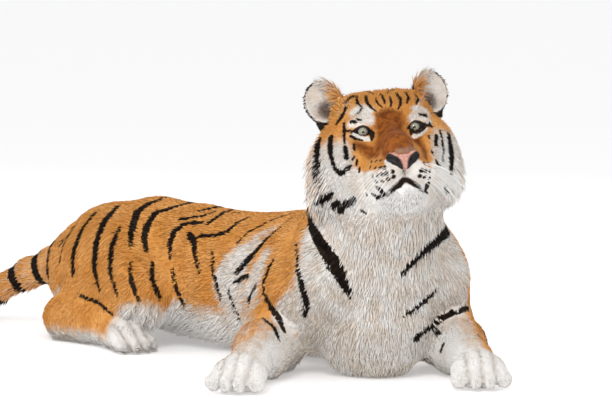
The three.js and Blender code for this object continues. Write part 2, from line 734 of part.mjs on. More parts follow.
// The mouth's line seen from the side, from the front of the lips to the corner and back to the throat.
const MOUTH_LINE = [
  [190, -MOUTH_DROP + 6],
  [136, -MOUTH_DROP],
  [118, -MOUTH_DROP - 12],
  [92, -MOUTH_DROP - 18],
  [60, -MOUTH_DROP - 16],
];
const JAW_BACK = [
  [42, -MOUTH_DROP - 12],
  [14, -MOUTH_DROP - 60],
  [4, -MOUTH_DROP - 110],
  [190, -MOUTH_DROP - 110],
];
const LIP_GAP = 3.4;

// The room of the lower jaw, and the same with the mouth's slit and the gap behind it added.
function jawRegion(slit, gap) {
  const lips = MOUTH_LINE.map(([x, z]) => new THREE.Vector2(x, z + slit));
  const back = JAW_BACK.map(([x, z]) => new THREE.Vector2(x - gap, z + gap));
  const width = 260;
  const slab = new THREE.ExtrudeGeometry(new THREE.Shape([...lips, ...back]), {
    depth: width,
    bevelEnabled: false,
  });
  const upright = new THREE.Matrix4().makeRotationX(Math.PI / 2).setPosition(0, width / 2, 0);
  return solid(slab, head.matrix.clone().multiply(upright));
}

const facePlane = { normal: head.direction(0.98, 0, -0.2), point: inHead(-34, 0, 0) };
const headCorners = [
  [-190, -140, -200],
  [110, 140, 110],
  [-190, 140, 110],
  [20, -140, -220],
].map((p) => inHead(...p));
const faceCorners = [
  [-30, -120, 60],
  [-30, 120, -120],
  [150, 60, -80],
  [100, 0, -215],
].map((p) => inHead(...p));

const skull = (grow) => sculptBox(headCorners, 30, 30, whole, grow);
const face = (grow) => sculptBox(faceCorners, 30, 17, whole, grow);

// The nose's leather, with its two comma-shaped nostrils.
const noseField = blend(9, [
  headMass([NOSE_REACH - 16, 0, -NOSE_DROP + 9], [16, 33, 12]),
  headMass([NOSE_REACH - 14, 0, -NOSE_DROP - 6], [14, 14, 17]),
  ...bothSides((side) => [headMass([NOSE_REACH - 22, side * 26, -NOSE_DROP + 2], [16, 13, 12])]),
]);
const nostril = (side) =>
  pill(
    inHead(NOSE_REACH + 1, side * 11, -NOSE_DROP - 5),
    inHead(NOSE_REACH - 7, side * 29, -NOSE_DROP + 5),
    5.2,
  );
const noseCorners = [inHead(NOSE_REACH - 40, -36, -NOSE_DROP - 24), inHead(NOSE_REACH, 36, -NOSE_DROP + 24)];
const noseSolid = (grow) => sculptBox(noseCorners, 18, 7.5, noseField, grow);

// The philtrum, from the nose down to the lips.
const philtrum = egg(head, [NOSE_REACH - 12, 0, -NOSE_DROP - 32], [14, 2.4, 24], 0, [10, 8]);

// Eyeballs, the almond openings before them, and the lids' rims, which hug the eyeballs.
const LID = { halfLength: 18, halfHeight: 11.5, rim: 3.8, tilt: 10 * DEG, turn: 16 * DEG };
const eyeAt = (side) => [EYE_SET, side * EYE_SPREAD, 0];
const eyeball = (side, grow) => egg(head, eyeAt(side), [EYE_RADIUS, EYE_RADIUS, EYE_RADIUS], grow, [12, 8]);

function eyeFrame(side) {
  const place = frameAt(v3(...eyeAt(side)), side * LID.turn, 0, side * LID.tilt);
  return { matrix: head.matrix.clone().multiply(place.matrix) };
}
const eyeOpening = (side) =>
  egg(eyeFrame(side), [24, 0, 0], [34, LID.halfLength, LID.halfHeight], 0, [14, 8]);

function lidRing(side) {
  const ring = new THREE.TorusGeometry(1, 0.2, 5, 16);
  const position = ring.getAttribute("position");
  const hug = EYE_RADIUS + 1.5;
  for (let i = 0; i < position.count; i++) {
    const [x, y, z] = [position.getX(i), position.getY(i), position.getZ(i)];
    const across = x * LID.halfLength;
    const up = y * LID.halfHeight;
    const inward = Math.min(Math.hypot(across, up), hug - 4);
    position.setXYZ(i, Math.sqrt(hug * hug - inward * inward) + z * 5 * LID.rim, across, up);
  }
  return solid(ring, eyeFrame(side).matrix);
}

// The throat's locks are cut clear of the head above them and of the chest that they lie on.
const headRoom = [skull(GAP), face(GAP)].map((made) =>
  pastPlane(made, throatPlane.normal, throatPlane.point, -GAP),
);
const chestRoom = beforePlane(trunkSolid(GAP), collarPlane.normal, collarPlane.point, -GAP);
const maneSolid = without(joined(throatLocks()), [...headRoom, chestRoom]);
addPart("neck", neckCore.add(maneSolid), COAT.white);

const headCut = (made) => pastPlane(made, throatPlane.normal, throatPlane.point);
const skullBack = beforePlane(headCut(skull(0)), facePlane.normal, facePlane.point);
addPart("head", without(skullBack, [jawRegion(0, GAP)]), COAT.orange);

const faceFront = pastPlane(headCut(face(0)), facePlane.normal, facePlane.point);
const sides = SIDES.map(([, side]) => side);
const faceCutters = [jawRegion(LIP_GAP, GAP), noseSolid(GAP), philtrum, ...sides.map(eyeOpening)];
const faceWithLids = joined([without(faceFront, faceCutters), ...sides.map(lidRing)]);
addPart("face", without(faceWithLids, sides.map((side) => eyeball(side, GAP))), COAT.orange);
SIDES.forEach(([name, side]) => addPart(`eye_${name}`, eyeball(side, 0), COAT.eye));
addPart("lower_jaw", headCut(face(0)).intersect(jawRegion(0, 0)), COAT.white);
addPart("nose", without(noseSolid(0), sides.map(nostril)), COAT.nose);

// ---------------------------------------------------------------- ears

// An ear: a rounded cup that opens forward and outward.
function earFrame(side) {
  const set = frameAt(v3(EAR_SET, side * EAR_SPREAD, EAR_RISE), side * 24 * DEG, 6 * DEG, side * -24 * DEG);
  return { matrix: head.matrix.clone().multiply(set.matrix) };
}

function earShell(side, grow) {
  const cup = egg(earFrame(side), [-6, 0, 0], [30, EAR_WIDTH / 2, EAR_LENGTH / 2], grow, [14, 8]);
  const rootCentre = [-6, side * -6, -EAR_LENGTH * 0.38];
  return cup.add(egg(earFrame(side), rootCentre, [32, EAR_WIDTH * 0.52, 50], grow, [10, 6]));
}

for (const [name, side] of SIDES) {
  const frame = earFrame(side);
  const hollow = egg(frame, [16, 0, 4], [36, EAR_WIDTH / 2 - 7, EAR_LENGTH / 2 - 6], 0, [12, 8]);
  const before = frame.matrix.clone().multiply(new THREE.Matrix4().makeTranslation(66, 0, 0));
  const front = solid(new THREE.BoxGeometry(120, 200, 200), before);
  addPart(`ear_${name}`, without(earShell(side, 0), [hollow, front, skull(GAP)]), COAT.white);
}

// ---------------------------------------------------------------- ruffs of long hair

// The ruff behind each cheek: a core that reaches half way out, and locks in tiers round it.
const RUFF = {
  centre: [-84, 121, -78],
  core: [36, 43, 98],
  tiers: [-18, 16],
  perTier: 7,
  from: 66 * DEG,
  to: -92 * DEG,
  length: 92,
  width: 52,
  thickness: 12,
};

function ruffLocks(side) {
  const [cx, cy, cz] = RUFF.centre;
  const [, ry, rz] = RUFF.core;
  return RUFF.tiers.flatMap((set, tier) =>
    Array.from({ length: RUFF.perTier }, (_, n) => {
      const seed = tier * 13 + n + 5;
      const share = (n + 0.5 * tier + 0.12 * scatter(seed)) / (RUFF.perTier - 0.5);
      const angle = THREE.MathUtils.lerp(RUFF.from, RUFF.to, share);
      const [outward, upward] = [Math.cos(angle), Math.sin(angle)];
      const root = inHead(cx + set, side * (cy + 0.55 * ry * outward), cz + 0.82 * rz * upward);
      const heading = head.direction(-0.12, side * (0.3 + 0.7 * outward), 0.3 * upward - 0.62);
      const bend = head.direction(-0.1, side * (0.06 + 0.3 * outward), -0.95);
      const length = RUFF.length * (0.84 + 0.22 * outward + 0.1 * scatter(seed + 50));
      return lock({ ...RUFF, root, heading, bend, out: head.direction(0.9, side * 0.4, 0), length });
    }),
  );
}

// What keeps a ruff clear of the throat's locks by the gap: the locks themselves, at a step each way.
const shifted = (made) =>
  AXES.flatMap((axis) => [GAP, -GAP].map((step) => made.translate(axis.map((x) => x * step))));
const nearRuffs = [skull(GAP), face(GAP), neckSolid(GAP), ...shifted(maneSolid)];
const ears = sides.map((side) => earShell(side, GAP));
for (const [name, side] of SIDES) {
  const centre = [RUFF.centre[0], side * RUFF.centre[1], RUFF.centre[2]];
  const ruff = joined([egg(head, centre, RUFF.core, 0, [12, 10]), ...ruffLocks(side)]);
  addPart(`ruff_${name}`, without(ruff, [...nearRuffs, ...ears]), COAT.white);
}

export default group;
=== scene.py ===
"""A life-size Siberian tiger lying with its head raised: skin, coat, eyes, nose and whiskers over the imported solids.

Sizes are in millimetres until a mesh is made. The body's own shape is one field, blended from the same
bones and masses as the solids, so the skin follows them at the coat's depth below their surface.
"""
import math
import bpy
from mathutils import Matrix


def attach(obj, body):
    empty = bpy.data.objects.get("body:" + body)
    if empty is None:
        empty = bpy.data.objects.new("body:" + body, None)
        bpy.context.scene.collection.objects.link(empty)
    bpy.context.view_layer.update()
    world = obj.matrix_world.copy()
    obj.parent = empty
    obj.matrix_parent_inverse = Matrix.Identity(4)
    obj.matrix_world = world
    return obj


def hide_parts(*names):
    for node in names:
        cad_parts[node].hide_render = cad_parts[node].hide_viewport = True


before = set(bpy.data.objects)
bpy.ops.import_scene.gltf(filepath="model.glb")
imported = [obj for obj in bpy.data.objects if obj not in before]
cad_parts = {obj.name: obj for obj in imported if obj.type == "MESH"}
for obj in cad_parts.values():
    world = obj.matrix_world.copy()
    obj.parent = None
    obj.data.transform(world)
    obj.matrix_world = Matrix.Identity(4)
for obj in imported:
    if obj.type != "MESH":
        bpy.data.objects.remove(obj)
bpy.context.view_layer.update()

from types import SimpleNamespace

import bmesh
import bpy
import numpy as np
from mathutils import Matrix, Vector
from mathutils.bvhtree import BVHTree

MM = 0.001
SIGNS = (-1, 1)  # the tiger's right side and its left
DRAW = np.random.default_rng(11)

# ---------------------------------------------------------------- camera

IMAGE_WIDTH, IMAGE_HEIGHT = 612, 407
LENS, SENSOR = 200.0, 36.0
PIXELS_PER_UNIT = IMAGE_WIDTH * LENS / SENSOR
AZIMUTH, ELEVATION = math.radians(42), math.radians(5)
AIM = np.array([107.6, -73.7, 601.5])  # the point between the eyes
AIM_PIXEL = (391.0, 129.0)
PIXELS_PER_MM_AT_AIM = 0.425

LEVEL = math.cos(ELEVATION)
BACK = np.array([math.sin(AZIMUTH) * LEVEL, -math.cos(AZIMUTH) * LEVEL, math.sin(ELEVATION)])
RIGHT = np.array([math.cos(AZIMUTH), math.sin(AZIMUTH), 0.0])
UP = np.cross(BACK, RIGHT)
EYEPOINT = (
    AIM
    + BACK * PIXELS_PER_UNIT / PIXELS_PER_MM_AT_AIM
    - RIGHT * (AIM_PIXEL[0] - IMAGE_WIDTH / 2) / PIXELS_PER_MM_AT_AIM
    + UP * (AIM_PIXEL[1] - IMAGE_HEIGHT / 2) / PIXELS_PER_MM_AT_AIM
)


def new_object(name, data):
    made = bpy.data.objects.new(name, data)
    bpy.context.scene.collection.objects.link(made)
    return made


def make_camera():
    data = bpy.data.cameras.new("camera")
    data.lens, data.sensor_width, data.clip_end = LENS, SENSOR, 100
    camera = new_object("camera", data)
    turn = Matrix((RIGHT, UP, BACK)).transposed().to_4x4()
    turn.translation = Vector(EYEPOINT * MM)
    camera.matrix_world = turn
    bpy.context.scene.camera = camera


make_camera()

# ---------------------------------------------------------------- frames of reference


def unit(v):
    return v / np.linalg.norm(v)


class Place:
    """A frame with an origin and three axes: forward, left and up."""

    def __init__(self, origin, yaw=0.0, pitch=0.0, roll=0.0, within=None):
        yaw, pitch, roll = map(math.radians, (yaw, pitch, roll))
        turn = np.array(
            Matrix.Rotation(yaw, 3, "Z") @ Matrix.Rotation(-pitch, 3, "Y") @ Matrix.Rotation(roll, 3, "X")
        )
        self.axes = within.axes @ turn if within else turn
        self.origin = within.point(*origin) if within else np.array(origin, float)

    def point(self, x, y, z):
        return self.origin + self.axes @ np.array([x, y, z], float)

    def direction(self, x, y, z):
        return unit(self.axes @ np.array([x, y, z], float))

    def local(self, p):
        return (p - self.origin) @ self.axes


SIDES = {"right": -1, "left": 1}
SPINE_Y = 152
chest = Place((0, 0, 0), yaw=-30)
head = Place(chest.point(130, -15, 601), yaw=-40, pitch=15, roll=5)
hind = Place((0, SPINE_Y, 0))

EYE_RADIUS, EYE_SPREAD, EYE_SET = 19, 61.5, -9
NOSE_REACH, NOSE_DROP = 150, 100
CHIN_DROP = 206
CROWN_RISE = 115
EAR_SPREAD, EAR_RISE, EAR_SET = 131, 96, -98
EAR_WIDTH, EAR_LENGTH = 94, 122

# ---------------------------------------------------------------- the body's field


def nearest_on(p, a, b):
    """For each point: the share of the way from a to b where it is nearest, and its distance from there."""
    along = b - a
    t = np.clip((p - a) @ along / max(along @ along, 1e-6), 0, 1)
    return t, np.sqrt(((p - a - t[:, None] * along) ** 2).sum(1))


def rod(a, b, ra, rb):
    """The distance to a round bar from a to b, with its radius at each end."""
    a, b = np.array(a, float), np.array(b, float)

    def field(p):
        t, away = nearest_on(p, a, b)
        return away - ra - (rb - ra) * t

    return field


def mass(place, centre, radii):
    """The distance to an ellipsoid, roughly."""
    centre, radii = np.array(centre, float), np.array(radii, float)

    def field(p):
        q = place.local(p) - centre
        k0 = np.sqrt(((q / radii) ** 2).sum(1))
        k1 = np.sqrt(((q / radii**2) ** 2).sum(1)) + 1e-9
        return k0 * (k0 - 1) / k1

    return field


def meet(a, b, soft):
    h = np.maximum(soft - np.abs(a - b), 0) / soft
    return np.minimum(a, b) - h * h * soft / 4


def carve(a, b, soft):
    return -meet(-a, b, soft)


def blend(soft, parts):
    def field(p):
        total = parts[0](p)
        for part in parts[1:]:
            total = meet(total, part(p), soft)
        return total

    return field


def rods_along(chain):
    return [rod(a, b, ra, rb) for (a, ra), (b, rb) in zip(chain, chain[1:])]


# The spine: a place on the floor, then the back's height and the body's radius there.
SPINE = [
    (chest.point(-50, 0, 0), 366, 164),
    (chest.point(-200, 0, 0), 386, 186),
    ((-371, SPINE_Y, 0), 372, 184),
    ((-560, SPINE_Y + 4, 0), 356, 177),
    ((-730, SPINE_Y + 2, 0), 366, 174),
    ((-880, SPINE_Y, 0), 377, 172),
    ((-1010, SPINE_Y - 3, 0), 357, 158),
    ((-1085, SPINE_Y - 5, 0), 317, 140),
    ((-1130, SPINE_Y - 6, 0), 269, 118),
]
SPINE_CHAIN = [(np.array([p[0], p[1], height - radius]), radius) for p, height, radius in SPINE]
spine_rods = rods_along(SPINE_CHAIN)
blade_rods = [rod(chest.point(-165, s * 64, 352), chest.point(-20, s * 128, 280), 60, 92) for s in SIGNS]
breast_masses = [mass(chest, (50, 0, 170), (95, 120, 150)), mass(chest, (-20, 0, 110), (120, 150, 130))]
NECK_RODS = [
    (chest.point(-70, 0, 320), chest.point(5, 0, 420), 150, 146),
    (chest.point(5, 0, 420), head.point(-95, 0, -45), 140, 112),
    (chest.point(45, 0, 300), head.point(-15, 0, -150), 118, 82),
]
neck_rods = [rod(*ends) for ends in NECK_RODS]

# The legs' joints down to the toes, and the tail's middle line and radius, from the spine's plane.
FORELEG = {
    "right": ((-140, -212, 84), (108, -350, 58), (222, -428, 34)),
    "left": ((-100, 204, 84), (206, 168, 58), (342, 142, 34)),
}
HINDLEG = ((-975, 88, 236), (-752, 186, 152), (-1040, 190, 62), (-700, 256, 32))
TAIL = [
    (-1112, -6, 196, 92),
    (-1180, -9, 186, 74),
    (-1250, -14, 170, 55),
    (-1340, -24, 144, 43),
    (-1450, -40, 94, 40),
    (-1560, -64, 50, 39),
    (-1680, -106, 36, 39),
    (-1790, -168, 36, 38),
    (-1880, -250, 35, 37),
    (-1930, -345, 33, 35),
    (-1945, -430, 30, 32),
    (-1944, -462, 28, 20),
]
TAIL_CHAIN = [(np.array([x, SPINE_Y + y, z]), radius) for x, y, z, radius in TAIL]
tail_points = [p for p, _ in TAIL_CHAIN]
tail_rods = rods_along(TAIL_CHAIN)


def paw_parts(wrist, toes, scale):
    """The field of the instep, the pad and the four toes, and the place where the toes end."""
    heading = (toes - wrist) * [1, 1, 0]
    yaw = math.degrees(math.atan2(heading[1], heading[0]))
    place = Place((toes[0], toes[1], 0), yaw=yaw)
    reach = np.linalg.norm(wrist - toes)
    spread = 31 * scale
    toe_rods = []
    for step in (-1.5, -0.5, 0.5, 1.5):
        back = -16 * scale if abs(step) > 1 else 0
        root = place.point(-52 * scale, step * spread * 0.8, 40 * scale)
        toe_rods.append(rod(root, place.point(back, step * spread, 25 * scale), 24 * scale, 22.5 * scale))
    knuckles = mass(place, (-58 * scale, 0, 36 * scale), (46 * scale, 56 * scale, 36 * scale))
    instep = rod(wrist, place.point(-reach * 0.45, 0, 42 * scale), 48 * scale, 45 * scale)
    return blend(15, [blend(30, [instep, knuckles]), blend(8, toe_rods)]), place


def make_leg(rods, ends, wrist, toes, scale, limb_soft, paw_soft):
    """A leg: its parts with the line that each lies along, its paw, and the field of the whole."""
    paw, place = paw_parts(wrist, toes, scale)
    limb = blend(limb_soft, rods)
    field = lambda p: meet(limb(p), paw(p), paw_soft)
    return SimpleNamespace(rods=rods, ends=ends, wrist=wrist, toes=toes, paw=paw, place=place, field=field)


def foreleg(name, side):
    elbow, wrist, toes = (chest.point(*p) for p in FORELEG[name])
    shoulder = chest.point(0, side * 138, 232)
    middle = (wrist + elbow) / 2
    rods = [rod(shoulder, elbow, 102, 78), rod(elbow, middle, 78, 72), rod(middle, wrist, 70, 55)]
    ends = [(shoulder, elbow), (elbow, wrist), (elbow, wrist)]
    return make_leg(rods, ends, wrist, toes, 1.1, 45, 24)


def hindleg(side):
    hip, knee, hock, toes = (hind.point(x, side * y, z) for x, y, z in HINDLEG)
    instep = hock + (toes - hock) * 0.62
    instep[2] = 46
    haunch = mass(hind, (-900, side * 160, 178), (160, 84, 150))
    rods = [rod(hip, knee, 116, 86), haunch, rod(knee, hock, 76, 50), rod(hock, instep, 46, 42)]
    ends = [(hip, knee), (hip, knee), (knee, hock), (hock, instep)]
    return make_leg(rods, ends, instep, toes, 0.93, 60, 20)


forelegs = {name: foreleg(name, side) for name, side in SIDES.items()}
hindlegs = {name: hindleg(side) for name, side in SIDES.items()}
LEGS = (*forelegs.values(), *hindlegs.values())
TOE_SPREAD = 32  # from the middle of one toe to the next

# ---------------------------------------------------------------- the head's field


def head_part(side, *numbers):
    """A mass (centre and radii) or a rod (two ends and their radii), given for the head's left side."""
    flip = lambda x, y, z: (x, side * y, z)
    if len(numbers) == 2:
        return mass(head, flip(*numbers[0]), numbers[1])
    a, b, ra, rb = numbers
    return rod(head.point(*flip(*a)), head.point(*flip(*b)), ra, rb)


def head_blend(soft, middle, sides):
    """A blend of the head's middle parts with its side parts, which are made on both sides."""
    parts = [head_part(1, *part) for part in middle]
    return blend(soft, parts + [head_part(s, *part) for s in SIGNS for part in sides])


def nose_at(x, y, z):
    """A place given from the nose's tip."""
    return NOSE_REACH + x, y, z - NOSE_DROP


cranium = head_blend(
    34,
    [((-92, -42, CROWN_RISE - 86), (-92, 42, CROWN_RISE - 86), 86, 86), ((-38, 0, 22), (56, 92, 50))],
    [((-62, 90, -46), (68, 50, 64)), ((-84, 78, -100), (-22, 58, -150), 62, 38)],
)
bridge = head_blend(
    22,
    [((-14, 0, 0), (80, 0, -62), 38, 35), ((80, 0, -62), nose_at(-31, 0, 6), 36, 29)],
    [((-14, 46, -64), (70, 36, -106), 36, 34)],
)
whisker_pads = head_blend(12, [], [(nose_at(-55, 36, -22), (46, 37, 33)), (nose_at(-82, 50, -27), (46, 33, 34))])
brows = head_blend(16, [], [((6, 40, 26), (-22, 88, 24), 16, 14), ((4, 46, -25), (-24, 84, -24), 13, 12)])
lower_jaw = head_blend(
    24,
    [((97, 0, 37 - CHIN_DROP), (33, 40, 37)), ((-40, 0, -156), (84, 0, 40 - CHIN_DROP), 56, 36)],
    [((-40, 42, -146), (70, 26, -170), 42, 28)],
)
ruff_cores = head_blend(30, [], [((-80, 126, -70), (36, 54, 104)), ((-54, 112, -80), (38, 62, 98))])
sockets = head_blend(
    6, [], [((22, EYE_SPREAD - 6, -1), (20, 26, 15)), ((27, EYE_SPREAD - 24, -5), (22, 15, 11))]
)

# The eyes: each looks out of an almond opening in the lids, which lie close round the eyeball.
LID_TURN, LID_TILT = 8, 10
LID_LENGTH, LID_HEIGHT, LID_CLEAR = 17.6, 12.2, 2.0
eye_places = {
    name: Place((EYE_SET, s * EYE_SPREAD, 0), yaw=s * LID_TURN, roll=s * LID_TILT, within=head)
    for name, s in SIDES.items()
}
lids = blend(1, [mass(e, (0, 0, 0), (EYE_RADIUS + LID_CLEAR,) * 3) for e in eye_places.values()])

# The mouth's line and the philtrum, as places on the face seen from the front: left or right, and up.
MOUTH_PLACES = [(0, -139), (16, -151), (33, -160.5), (43, -165), (51, -167), (58, -166)]
PHILTRUM_PLACES = [(0, -116), (0, -127), (0, -139)]


def plain_head(p):
    """The head without its sockets, lids, mouth and ruff."""
    skull = meet(meet(cranium(p), bridge(p), 30), brows(p), 14)
    return meet(meet(skull, whisker_pads(p), 14), lower_jaw(p), 12)


def on_face(y, z, sink=0.0):
    """The point of the face in front of a place on the head's cross plane."""
    p = head.point(230, y, z)[None]
    forward = head.axes[:, 0]
    for _ in range(60):
        p = p - forward * 0.7 * plain_head(p)[:, None]
    return p[0] - forward * sink


def grooves(places, sink, radius):
    points = [on_face(y, z, sink) for y, z in places]
    return [rod(a, b, radius, radius) for a, b in zip(points, points[1:])]


lip_rods = [r for s in SIGNS for r in grooves([(s * y, z - 2) for y, z in MOUTH_PLACES], 2.5, 4.2)]
mouth_groove = blend(2, lip_rods + grooves(PHILTRUM_PLACES, 0.5, 1.8))


def head_field(p):
    whole_head = meet(carve(plain_head(p), sockets(p), 14), lids(p), 9)
    return meet(carve(whole_head, mouth_groove(p), 3), ruff_cores(p), 40)


def body_field(p):
    total = blend(10, spine_rods)(p)
    total = meet(total, blend(30, blade_rods)(p), 60)
    total = meet(total, blend(60, breast_masses)(p), 60)
    for name in SIDES:
        total = meet(total, forelegs[name].field(p), 34)
        total = meet(total, hindlegs[name].field(p), 44)
    total = meet(total, blend(24, tail_rods)(p), 46)
    return meet(total, blend(80, neck_rods)(p), 70)


HEAD_REACH = 420  # no part of the head's field matters further than this from its origin


def whole_field(p):
    total = body_field(p)
    near = np.linalg.norm(p - head.origin, axis=1) < HEAD_REACH
    total[near] = meet(total[near], head_field(p[near]), 40)
    return total


def probe(field, p, step=0.8):
    """The field's value and slope at each point."""
    value = field(p)
    slope = np.stack([(field(p + step * axis) - value) / step for axis in np.eye(3)], 1)
    return value, slope


# ---------------------------------------------------------------- meshes and arrays


def read(rows, name, width, kind=np.float32):
    """One value of a mesh's rows, as an array of that width."""
    values = np.empty(len(rows) * width, kind)
    rows.foreach_get(name, values)
    return values.reshape(-1, width)


def mesh_points(mesh):
    return read(mesh.vertices, "co", 3).astype(float) / MM


def mesh_edges(mesh):
    return read(mesh.edges, "vertices", 2, np.int32)


def set_points(mesh, points):
    mesh.vertices.foreach_set("co", (points * MM).astype(np.float32).ravel())
    mesh.update()


def put_attribute(mesh, name, values):
    made = mesh.attributes.new(name, "FLOAT", "POINT")
    made.data.foreach_set("value", np.asarray(values, np.float32))


def unit_rows(v, least=0.0):
    return v / (np.linalg.norm(v, axis=1)[:, None] + least)


def neighbour_mean(values, edges):
    """The mean of each vertex's neighbours, column by column."""
    a, b = edges[:, 0], edges[:, 1]
    count = np.bincount(a, minlength=len(values)) + np.bincount(b, minlength=len(values))
    total = np.empty_like(values)
    for k in range(values.shape[1]):
        total[:, k] = np.bincount(a, values[b, k], len(values)) + np.bincount(b, values[a, k], len(values))
    return total / np.maximum(count, 1)[:, None]


def opened(*meshes):
    """One bmesh of all the meshes."""
    bm = bmesh.new()
    for mesh in meshes:
        bm.from_mesh(mesh)
    return bm


def written(bm, mesh):
    bm.to_mesh(mesh)
    bm.free()
    return mesh


def smooth_object(bm, name):
    mesh = written(bm, bpy.data.meshes.new(name))
    mesh.shade_smooth()
    return new_object(name, mesh)


def merged_nodes(*names):
    """One bmesh of copies of the solids' nodes, with their doubled points merged."""
    bm = opened(*(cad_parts[name].data for name in names))
    bmesh.ops.remove_doubles(bm, verts=bm.verts, dist=1e-5)
    return bm


def remeshed(bm, voxel):
    """A closed, even net of squares round everything in the bmesh."""
    raw = written(bm, bpy.data.meshes.new("raw"))
    holder = new_object("raw", raw)
    net = holder.modifiers.new("net", "REMESH")
    net.mode, net.voxel_size = "VOXEL", voxel * MM
    made = bpy.data.meshes.new_from_object(holder.evaluated_get(bpy.context.evaluated_depsgraph_get()))
    bpy.data.objects.remove(holder)
    bpy.data.meshes.remove(raw)
    return made


def drop_vertices(mesh, gone):
    bm = opened(mesh)
    bm.verts.ensure_lookup_table()
    bmesh.ops.delete(bm, geom=[bm.verts[i] for i in np.flatnonzero(gone)], context="VERTS")
    written(bm, mesh)


def keep_largest(mesh):
    """Removes every loose piece but the largest."""
    edges = mesh_edges(mesh)
    labels = np.arange(len(mesh.vertices))
    while True:
        low = np.minimum(labels[edges[:, 0]], labels[edges[:, 1]])
        after = labels.copy()
        np.minimum.at(after, edges[:, 0], low)
        np.minimum.at(after, edges[:, 1], low)
        after = after[after]
        if (after == labels).all():
            break
        labels = after
    drop_vertices(mesh, labels != np.bincount(labels).argmax())


def settle(mesh, field, depth, rounds, move=None):
    """Moves the mesh's vertices onto the field's surface at a depth, and evens them out along it."""
    points, edges = mesh_points(mesh), mesh_edges(mesh)
    move = np.ones(len(points), bool) if move is None else move
    for _ in range(rounds):
        value, slope = probe(field, points[move])
        steep = np.maximum((slope**2).sum(1), 0.2)
        step = -(value + depth(points[move])) / steep
        shift = slope * np.clip(step, -9, 9)[:, None]
        normal = slope / np.sqrt(steep)[:, None]
        even = (neighbour_mean(points, edges) - points)[move]
        even -= normal * (even * normal).sum(1)[:, None]
        points[move] += shift + 0.5 * even
    set_points(mesh, points)


def refine(mesh, chosen):
    """Divides the faces whose middle is chosen, and leaves no face of more than four sides."""
    bm = opened(mesh)
    bm.faces.ensure_lookup_table()
    middles = np.array([f.calc_center_median() for f in bm.faces]) / MM
    edges = {e for i in np.flatnonzero(chosen(middles)) for e in bm.faces[i].edges}
    bmesh.ops.subdivide_edges(bm, edges=list(edges), cuts=1, use_grid_fill=True)
    bmesh.ops.triangulate(bm, faces=[f for f in bm.faces if len(f.verts) > 4])
    written(bm, mesh)


# ---------------------------------------------------------------- skin

FLOOR_REST = 1.5  # the skin under the belly and the paws stays this far above the floor
SKIN_NET, EAR_NET = 10.4, 2.6  # the sides of the first nets' squares


def near_toes(p):
    away = np.min([np.linalg.norm(p - leg.place.point(-20, 0, 30), axis=1) for leg in LEGS], axis=0)
    return 1 - np.clip((away - 80) / 40, 0, 1)


def toe_gaps(p):
    """How far each point lies in a gap between two toes."""
    share = np.zeros(len(p))
    for leg in LEGS:
        e = leg.place.local(p)
        off = np.min([np.abs(e[:, 1] - k * TOE_SPREAD) for k in (-1, 0, 1)], axis=0)
        here = np.clip((e[:, 0] + 78) / 30, 0, 1) * (e[:, 0] < 60) * (np.abs(e[:, 1]) < 70)
        share = np.maximum(share, here * np.clip(1 - off / 8, 0, 1))
    return share


def skin_depth(p):
    """How far the skin lies under the solids' surface, where the coat takes up the rest."""
    q = head.local(p)
    from_nose = np.linalg.norm(q - [130, 0, -105], axis=1)
    on_head = np.clip((q[:, 0] + 150) / 60, 0, 1) * np.clip((q[:, 2] + 240) / 40, 0, 1)
    on_head *= np.linalg.norm(q, axis=1) < 330
    face = np.clip(1.6 + 0.03 * (from_nose - 40), 1.6, 8)
    for place in eye_places.values():
        face = np.minimum(face, np.clip(0.5 + 0.25 * (np.linalg.norm(p - place.origin, axis=1) - 26), 0.5, 9))
    body = 10 - 6 * near_toes(p) + 7 * toe_gaps(p)
    return on_head * face + (1 - on_head) * body


def open_lids(mesh):
    """Takes away the skin in front of each eyeball. The rim of the lids covers the cut."""
    points = mesh_points(mesh)
    inside = np.zeros(len(points), bool)
    for place in eye_places.values():
        x, y, z = place.local(points).T
        inside |= (np.hypot(y / LID_LENGTH, z / LID_HEIGHT) < 1) & (x > 0) & (x < 40)
    drop_vertices(mesh, inside)


def add_cores(bm):
    """Fills the neck and the cheeks, whose solids are locks of hair, so that one skin reaches over them."""
    for a, b, ra, rb in NECK_RODS:
        for share in np.linspace(0, 1, 9):
            centre = Matrix.Translation(Vector((a + (b - a) * share) * MM))
            radius = (ra + (rb - ra) * share) * MM
            bmesh.ops.create_icosphere(bm, subdivisions=3, radius=radius, matrix=centre)
    for s in SIGNS:
        turn = Matrix(head.axes).to_4x4()
        turn.translation = Vector(head.point(-88, s * 112, -66) * MM)
        stretch = Matrix.Diagonal((40 * MM, 36 * MM, 88 * MM, 1))
        bmesh.ops.create_icosphere(bm, subdivisions=3, radius=1, matrix=turn @ stretch)


def within(centres, reach):
    return lambda p: np.min([np.linalg.norm(p - c, axis=1) for c in centres], axis=0) < reach


def on_front_of_head(p):
    x, y, z = head.local(p).T
    return (x > -16) & (np.abs(y) < 92) & (z > -205) & (z < 60)


